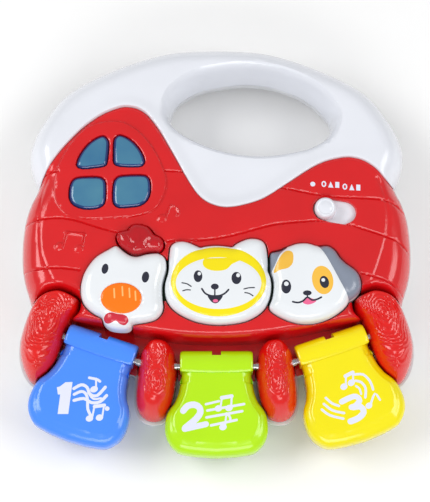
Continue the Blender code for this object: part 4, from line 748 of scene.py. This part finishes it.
for colour, (centre, turn, stretch, paint) in KEYS.items():
    half = [(16.9, -2.9), (16.9, -5)] + [(x, y * stretch if y < -10 else y) for x, y in KEY_HALF]
    loop = smooth(half, 4, closed=False) + [(0, KEY_TIP * stretch)] + mirror(smooth(half, 4, closed=False))[::-1]
    tip = KEY_TIP * stretch

    def key_top(p, loop=loop, tip=tip):
        face = ROD_Z + 4.4 - 2.8 * np.clip((p[:, 1] + 8) / (tip + 8), 0, 1)
        d = np.where(p[:, 1] > -9, np.abs(16.95 - np.abs(p[:, 0])), reach(p, loop))
        edge = 3.0 + 2.6 * step((p[:, 1] - tip * 0.55) / (tip * 0.4))
        roundness = 4.8 * (1 - ell(d / (edge + 2.6)))
        return face - roundness + 0.5 * step((d - edge) / 0.7) - 0.5

    def key_base(p, loop=loop):
        d = reach(p, loop)
        rim = ROD_Z - 12 + 3 * (1 - ell(d / 4))
        return np.where((d > 3.2) & (p[:, 1] < -12), ROD_Z - 1.0, np.where(p[:, 1] > -9.5, ROD_Z - 4.8, rim))

    marks = [(to_local(m, centre, turn), 1) for m in PRINTS[colour]]
    plate = surface("key_%s_plate" % colour, loop, key_top, key_base, (0.25, 0.6, 1.1, 1.8, 2.7, 3.1, 3.5, 4.2,
        5.6), 1.3,
                    [paint, PRINT], colour + "_key", marks=marks, turn=(centre, turn), angle=40)
    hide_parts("key_" + colour)
    profile = [(-3.5, 3.6), (-3.7, 4.9), (-3.1, 5.6), (-1.6, 6.1), (0.4, 6.25), (2.6, 6.1), (4.6, 5.4), (6.0, 4.2),
               (6.9, 2.6),
               (7.2, 0.8), (7.0, -1.2), (6.2, -3), (4.6, -4.6), (2.4, -5.6), (0, -5.9), (-2.4, -5.4), (-3.5, -4.6)]
    m = len(profile)
    xs = ((-17.6, 0.86), (-17.45, 0.92), (-17.1, 0.96), (-16.5, 0.99), (-15.6, 1.0), (-9, 1.0), (0, 1.0), (9, 1.0),
          (15.6, 1.0), (16.5, 0.99), (17.1, 0.96), (17.45, 0.92), (17.6, 0.86))
    verts = []
    for x, g in xs:
        for y, z in profile:
            sag = 0.5 * (1 - (x / 17.6) ** 2) if -4 < y < -3.4 and z > 4 else 0
            wx, wy = to_world([(x, y * g - sag)], centre, turn)[0]
            verts.append((wx, wy, ROD_Z + z * g))
    n = len(xs) - 1
    faces = [tuple(range(m))[::-1], tuple(range(n * m, n * m + m))]
    faces += [(k * m + i, k * m + (i + 1) % m, (k + 1) * m + (i + 1) % m, (k + 1) * m + i)
              for k in range(n) for i in range(m)]
    hinge = put("key_%s_hinge" % colour, verts, faces, [paint], colour + "_key", angle=28)
    bm = bmesh.new()
    bm.from_mesh(hinge.data)
    bmesh.ops.recalc_face_normals(bm, faces=bm.faces)
    bm.to_mesh(hinge.data)
    bm.free()
    for lo, hi in (((-2.2, 4.2), (2.2, 12)),):
        corners = to_world([(lo[0], lo[1]), (hi[0], lo[1]), (hi[0], hi[1]), (lo[0], hi[1])], centre, turn)
        cutter(hinge, prism(corners, 0, 45))
    a, b = to_world([(-30, 0), (30, 0)], centre, turn)
    cutter(hinge, bar("tool", (*a, ROD_Z), (*b, ROD_Z), ((0, 2.09), (1, 2.09)), [paint], None))
    hinge.data.shade_smooth()
    hinge.data.set_sharp_from_angle(angle=math.radians(28))
    arm = surface("key_%s_arm" % colour, [(-3.6, -1.6), (3.6, -1.6), (3.6, 1.6), (-3.6, 1.6)], 17.5,
                  lambda p: 9.5 + 0.6 * (1 - ell(np.minimum(3.6 - np.abs(p[:, 0]), 1.6 - np.abs(p[:, 1])) / 0.6)),
                  (0.2, 0.5), 0.8, [paint], colour + "_key", turn=(centre, turn))
    a, b = to_world([(-24.2, 0), (24.2, 0)], centre, turn)
    pin = bar("key_pin_%s_turned" % colour, (*a, ROD_Z), (*b, ROD_Z),
              ((0, 1.5), (0.01, 2), (0.105, 2), (0.11, 1.75), (0.125, 1.75), (0.13, 2), (0.87, 2), (0.875, 1.75),
               (0.89, 1.75), (0.895, 2), (0.99, 2), (1, 1.5)), [STEEL], "casing")
    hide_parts("key_pin_" + colour)


# ------------------------------------------------------------------ animal buttons
def dome(loop, high=TOP_Z, low=5.4, round_by=6.0):
    return lambda p: high - low + low * ell(reach(p, loop) / round_by)


def under(loop, top, wall=1.8, base=29.0):
    return lambda p: np.where(reach(p, loop) < wall, base, top(p) - wall)


def cap(name, loop, top, inks, marks):
    obj = surface(name + "_button_cap", loop, top, under(loop, top), CAP_RINGS, 1.1, [CAP, INK] + inks, name,
                  marks=marks)
    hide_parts(name + "_button")


CAP_RINGS = (0.2, 0.5, 0.9, 1.4, 1.75, 1.95, 2.6, 3.6, 5)
chicken_loop = smooth(CHICKEN, 3)
cat_loop = smooth(CAT, 3)
dog_loop = smooth(DOG, 3)
WATTLE = [(-54, -42.6), (-53, -40.9), (-50.6, -40.1), (-47.4, -40.9), (-44.6, -41.2), (-42.6, -42.4), (-42.2, -44.4),
          (-43.8, -46.1), (-46.2, -45.6), (-48.2, -44.2), (-51, -45.2), (-53.2, -44.6)]
BEAK = oval(-45.7, -33.1, 9.9, 7.7, -4, 40)
chick_marks = [(BEAK, 2), (oval(-53.8, -18.4, 1.6, 2.6, -10), 1),
               (oval(-34.2, -22.6, 1.75, 2.8, -8), 1), (smooth(WATTLE, 3), 4)]
# painted highlight: four pale-orange strokes on the upper beak stand in for glossy reflections; they are paint only,
# with no relief
BEAK_HIGHLIGHTS = [stroke([(x, y), (x + 0.3, y - 4.4)], 0.75) for x, y in ((-49.2, -28.6), (-45.3, -27.6), (-41.9, -28.4),
                                                                (-39, -29.9))]
chick_marks += [(highlight_stroke, 3) for highlight_stroke in BEAK_HIGHLIGHTS]


def chicken_top(p):
    z = dome(chicken_loop)(p) - 0.4
    z = z + 0.4 * step((depth(p, BEAK) + 0.6) / 1.4) - 0.5 * np.exp(-((depth(p, BEAK) + 0.4) / 0.5) ** 2)
    z = z + 0.35 * step((depth(p, WATTLE) + 0.2) / 0.8)
    return np.minimum(z, TOP_Z - 0.02)


cap("chicken", chicken_loop, chicken_top, [ORANGE, BEAK_HIGHLIGHT_ORANGE, SCARLET], chick_marks)
comb_loop = smooth(COMB, 3)


def comb_top(p):
    z = TOP_Z - 4.8 + 4.2 * ell(reach(p, comb_loop) / 4)
    fan = np.arctan2(p[:, 1] + 8.5, p[:, 0] + 37)
    far = np.hypot(p[:, 0] + 37, p[:, 1] + 8.5)
    z = z + 0.3 * np.maximum(0, np.cos(11 * fan)) ** 2 * step((far - 2.5) / 1.5) * step((9.5 - far) / 1.5)
    z = z - 0.7 * np.exp(-(reach(p, [(-45, 0), (-42, -3.5), (-39.5, -7)], False) / 0.6) ** 2)
    return z - 0.7 * np.exp(-(reach(p, [(-30.5, -1), (-33, -4), (-35.5, -7)], False) / 0.6) ** 2)


comb = surface("chicken_comb_lens", comb_loop, comb_top, 30.0, FINE_RINGS, 0.8, [COMB_RED], "chicken")
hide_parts("chicken_comb")

RING = oval(1.0, -24.4, 23.0, 17.6, 0, 72)
FACE_PATCH = oval(1.0, -25.6, 20.6, 13.0, 0, 64)
TUFT = smooth([(-11.5, -13.2), (-5.1, -11.5), (-6.6, -14.6), (-6.2, -17.2), (-3.6, -19), (0.4, -19.6), (4.8, -18.8),
               (7.4, -16.2), (11.5, -13)], 3)
cat_marks = [(RING, 2), (FACE_PATCH, 0), (TUFT, 2), (oval(-8.9, -22.3, 2.1, 3.0), 1), (oval(-8.3, -21, 0.8, 0.9), 0),
             (oval(9.6, -23.2, 2.4, 3.1), 1), (oval(10.4, -21.8, 0.9, 1.0), 0), (oval(-0.8, -27.5, 1.9, 1.5), 1),
             (stroke([(-0.8, -28.5), (-0.8, -31.8)], 0.7), 1),
             (stroke([(-7, -28.6), (-5.5, -30.8), (-3.1, -32), (-0.8, -32.2), (1.7, -32), (4.1, -30.8), (5.8, -29)],
                     0.9), 1),
             (smooth([(-4.3, -31.8), (-0.8, -32.4), (3, -31.8), (1.6, -34.6), (-0.4, -35.9), (-2.6, -34.9)], 3), 1),
             (oval(-0.5, -34.6, 1.3, 0.8), 3)]
for side_line in ([(-16.6, -25.6), (-14.2, -26.1), (-12.2, -27.4)], [(-16.2, -29.6), (-14.4, -29.1), (-12.6, -29.2)],
                  [(13.2, -28.7), (15.6, -28.1), (18.2, -28)], [(13.6, -30.5), (15.6, -30.9), (17.5, -32.1)]):
    cat_marks.append((stroke(side_line, 0.6), 1))


def cat_top(p):
    z = dome(cat_loop)(p) - 0.3
    return np.minimum(z - 0.35 * np.exp(-(reach(p, RING) / 0.45) ** 2) + 0.25 * step(depth(p, FACE_PATCH) / 0.8),
                      TOP_Z)


cap("cat", cat_loop, cat_top, [SUN, PINK], cat_marks)

EAR_R = smooth([(49.8, -6.5), (53.1, -11.6), (56.3, -17.7), (59.5, -24.2), (62.3, -29.8), (63.9, -33.3)], 3, False)
EAR_L = smooth([(34.2, -7), (30.8, -10.6), (28.3, -16.1), (25.8, -20.2)], 3, False)
RIGHT_EAR = EAR_R + [(75, -38), (75, 0), (49.8, 0)]
LEFT_EAR = EAR_L + [(20, -20.2), (20, 0), (34.2, 0)]
PATCH = smooth([(27.7, -19.8), (29.2, -15.3), (32.2, -10.2), (34.6, -8.9), (37, -10.4), (36.9, -15.3), (34.5, -18),
                (31.1, -18.8)], 3)
dog_marks = [(RIGHT_EAR, 2), (LEFT_EAR, 2), (PATCH, 3),
             (oval(51.1, -24.1, 5.1, 7.2, 8, 40), 3), (oval(33.5, -27.4, 2.4, 3.5), 1), (oval(33.6, -26, 1.1, 1.1),
                 0),
             (oval(51.9, -25.1, 2.2, 3.1, 12), 1), (oval(51.4, -24.1, 0.9, 0.9), 0), (oval(43.6, -30.6, 2.1, 1.3), 1),
             (smooth([(41.3, -35.2), (43.6, -32.8), (47.8, -34.4), (45.9, -35.9), (43.4, -36.4)], 3), 4),
             (stroke([(36.6, -35), (39, -35.4), (41.4, -34.6), (43.6, -32.7), (45.7, -34.1), (48.1, -33.8), (50.3,
                 -32.7)], 0.9), 1),
             (stroke([(43.6, -31.5), (43.6, -32.8)], 0.7), 1)]


def dog_top(p):
    z = dome(dog_loop)(p) - 0.3
    ear = within(p, RIGHT_EAR) | within(p, LEFT_EAR)
    rim = np.minimum(reach(p, EAR_R, False), reach(p, EAR_L, False))
    z = z - 0.9 * np.where(ear, step(rim / 1.2), 0) - 0.3 * np.exp(-(rim / 0.4) ** 2)
    return np.minimum(z, TOP_Z)


cap("dog", dog_loop, dog_top, [GREY, AMBER, PINK], dog_marks)
for name, seat, body in (("chicken", (-45, -27), "chicken"), ("cat", (1, -25), "cat"), ("dog", (47, -25), "dog")):
    lathe(name + "_plunger", [(0, 27.6), (2.3, 27.6), (2.8, 28.1), (2.8, 38.4), (0, 38.4)], seat, [CAP], body)

for name in ("chicken", "cat", "dog"):
    low, high = (np.array(v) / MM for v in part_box(name + "_dome"))
    x, y, r, h = (low[0] + high[0]) / 2, (low[1] + high[1]) / 2, (high[0] - low[0]) / 2, high[2] - low[2]
    z = low[2]
    rubber = lathe(name + "_dome_rubber", [(0, z), (r, z), (r, z + 0.6), (0.86 * r, z + 0.9), (0.6 * r, z + 0.5 * h),
                                           (0.5 * r, z + 0.8 * h), (0.48 * r, z + 0.97 * h), (0.4 * r, z + h), (0,
                                               z + h)],
                   (x, y), [RUBBER], "casing")
    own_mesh(rubber)
    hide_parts(name + "_dome")

# ------------------------------------------------------------------ window insert and switch
# the lit lens blue fills each pane only inside a 1.3 mm inset; the band outside it keeps the painted shade colour
lens_marks = [(offset(smooth(q, 3), -1.3), 1) for q in PANES]
for k, pane in enumerate(PANES):
    pad = ccw(smooth(pane, 3))
    obj = surface("window_pane_%d" % (k + 1), pad,
                  lambda p, pad=pad: face_height(p, True) - 0.6 + 2.0 * ell(reach(p, pad) / 2.6), 30.0,
                  (0.2, 0.5, 1, 1.6, 2.4), 1.1, [LENS_SHADED_BLUE, LENS], "casing", marks=[lens_marks[k]])
    if k == 0:
        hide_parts("window_lens")
plate = surface("window_insert_plate", [(-75.5, 12), (-29.5, 12), (-29.5, 34), (-33, 46), (-42, 55.5), (-57, 56),
                                        (-66, 52.5),
                                        (-75.5, 38)], 30.6, 29.3, (0.3, 0.6), 4, [LENS_SHADED_BLUE], "casing")
plate_loop = stadium((SWITCH_FROM[0] - 7.7 * along[0], SWITCH_FROM[1] - 7.7 * along[1]),
                     (SWITCH_FROM[0] + 8.6 * along[0], SWITCH_FROM[1] + 8.6 * along[1]), 7.2)
slide = surface("switch_slider_plate", plate_loop, lambda p: 31.9 + 0.3 * ell(reach(p, plate_loop) / 0.4), 30.9,
                (0.2, 0.5), 1.5, [WHITE], "switch")
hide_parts("switch_slider")
lathe("switch_slider_knob", [(0, 31.6), (5.2, 31.6), (5.35, 33), (5.3, 36.2), (5.1, 37.1), (4.6, 37.8), (3.9, 38.1),
                             (3.5, 37.9),
                             (3.1, 37.95), (2.4, 38.3), (1.2, 38.55), (0, 38.6)], SWITCH_FROM, [WHITE], "switch",
                             48)

# ------------------------------------------------------------------ screws, feet, battery door
spots = [("case_screw_%d" % (i + 1), q, 24.0) for i, q in enumerate(CASE_SCREWS)]
spots += [("leg_screw_" + side, q, 21.0) for side, q in LEG_SCREWS.items()]
spots.append(("battery_door_screw", (35.2, 16), 9.6))
for name, (x, y), top in spots:
    z0 = 3.6 if top > 10 else 2.1
    r = 2.8 if top > 10 else 2.5
    screw = lathe(name + "_head", [(0, z0), (r - 0.5, z0), (r - 0.15, z0 + 0.15), (r, z0 + 0.5), (r, z0 + 1.2),
                                   (1.2, z0 + 1.6), (1.2, top - 1.5), (0, top)], (x, y), [STEEL], "casing",
                                   24)
    for a, b in ((1.7, 0.28), (0.28, 1.7)):
        cutter(screw, prism([(x + i * a, y + j * b) for i, j in ((-1, -1), (1, -1), (1, 1), (-1, 1))], z0 - 1,
                            z0 + 0.7))
    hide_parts(name)
for i, q in enumerate(FEET):
    foot = lathe("foot_%d_pad" % (i + 1), [(0, 0.02), (3.6, 0.02), (4.5, 0.25), (4.9, 0.8), (5, 1.4), (5, 2.5), (0,
        2.5)], q,
                 [RUBBER], "casing", 36)
    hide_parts("foot_%d" % (i + 1))
door_loop = [(-31, -0.8), (31, -0.8), (31, 12), (39, 12), (39, 20), (31, 20), (31, 32.8), (-31, 32.8)]


def door_bottom(p):
    z = np.full(len(p), 2.0)
    z = z + 0.5 * (1 - ell(reach(p, door_loop) / 0.6))
    grip = (np.abs(p[:, 0] + 24) < 5) & (np.abs(p[:, 1] - 16) < 8)
    z = z + np.where(grip, 0.25 + 0.25 * np.cos(p[:, 1] * math.pi), 0)
    return np.where(np.hypot(p[:, 0] - 35.2, p[:, 1] - 16) < 2.9, 3.3, z)


door = surface("battery_door_panel", door_loop, 3.9, door_bottom, (0.2, 0.45, 0.8), 0.9, [BACK], "casing",
               holes=[oval(35.2, 16, 1.5, 1.5, n=16)], lines=[oval(35.2, 16, r, r, n=28) for r in (2.85, 2.95)])
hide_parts("battery_door")

# ------------------------------------------------------------------ inner parts keep their solids
slots = {s["node"]: s["material_slot"] for s in frame["record"]["subparts"]}
for node, obj in frame["nodes"].items():
    obj.data.materials.clear()
    obj.data.materials.append(LOOKS[slots[node]])

# ------------------------------------------------------------------ floor, light, camera
mesh = bpy.data.meshes.new("floor")
mesh.from_pydata([(-3, -3, -0.0005), (3, -3, -0.0005), (3, 3, -0.0005), (-3, 3, -0.0005)], [], [(0, 1, 2, 3)])
floor = bpy.data.objects.new("floor", mesh)
bpy.context.collection.objects.link(floor)
mesh.materials.append(plastic("floor_white", (0.93, 0.93, 0.93), 0.6, 0.0, 0.01, mottle=0.003))

world = bpy.data.worlds.new("studio")
bpy.context.scene.world = world
world.use_nodes = True
world.node_tree.nodes["Background"].inputs["Color"].default_value = (1, 1, 1, 1)
world.node_tree.nodes["Background"].inputs["Strength"].default_value = 0.42


def lamp(name, place, target, size, size_y, power):
    data = bpy.data.lights.new(name, "AREA")
    data.shape, data.size, data.size_y, data.energy = "RECTANGLE", size, size_y, power
    obj = bpy.data.objects.new(name, data)
    bpy.context.collection.objects.link(obj)
    obj.location = place
    obj.rotation_euler = (Vector(target) - Vector(place)).to_track_quat("-Z", "Y").to_euler()


lamp("left_softbox", (-1.0, 0.15, 0.95), (0, 0, 0), 1.0, 0.6, 9.5)
lamp("right_softbox", (1.0, -0.1, 0.95), (0, 0, 0), 1.0, 0.6, 7.5)
lamp("front_softbox", (0.0, -1.2, 0.8), (0, 0, 0), 1.2, 0.4, 6)

cam = bpy.data.cameras.new("camera")
cam.sensor_width = 36
cam.lens = 36 * 1500 / 502
cam.shift_x = -1.5 / 502
view = bpy.data.objects.new("camera", cam)
bpy.context.collection.objects.link(view)
aim = Vector((0, -0.0022, 0.018))
tilt = math.radians(72)
view.location = aim + 0.75 * Vector((0, -math.cos(tilt), math.sin(tilt)))
view.rotation_euler = (aim - view.location).to_track_quat("-Z", "Y").to_euler()
bpy.context.scene.camera = view
bpy.context.scene.view_settings.view_transform = "Standard"
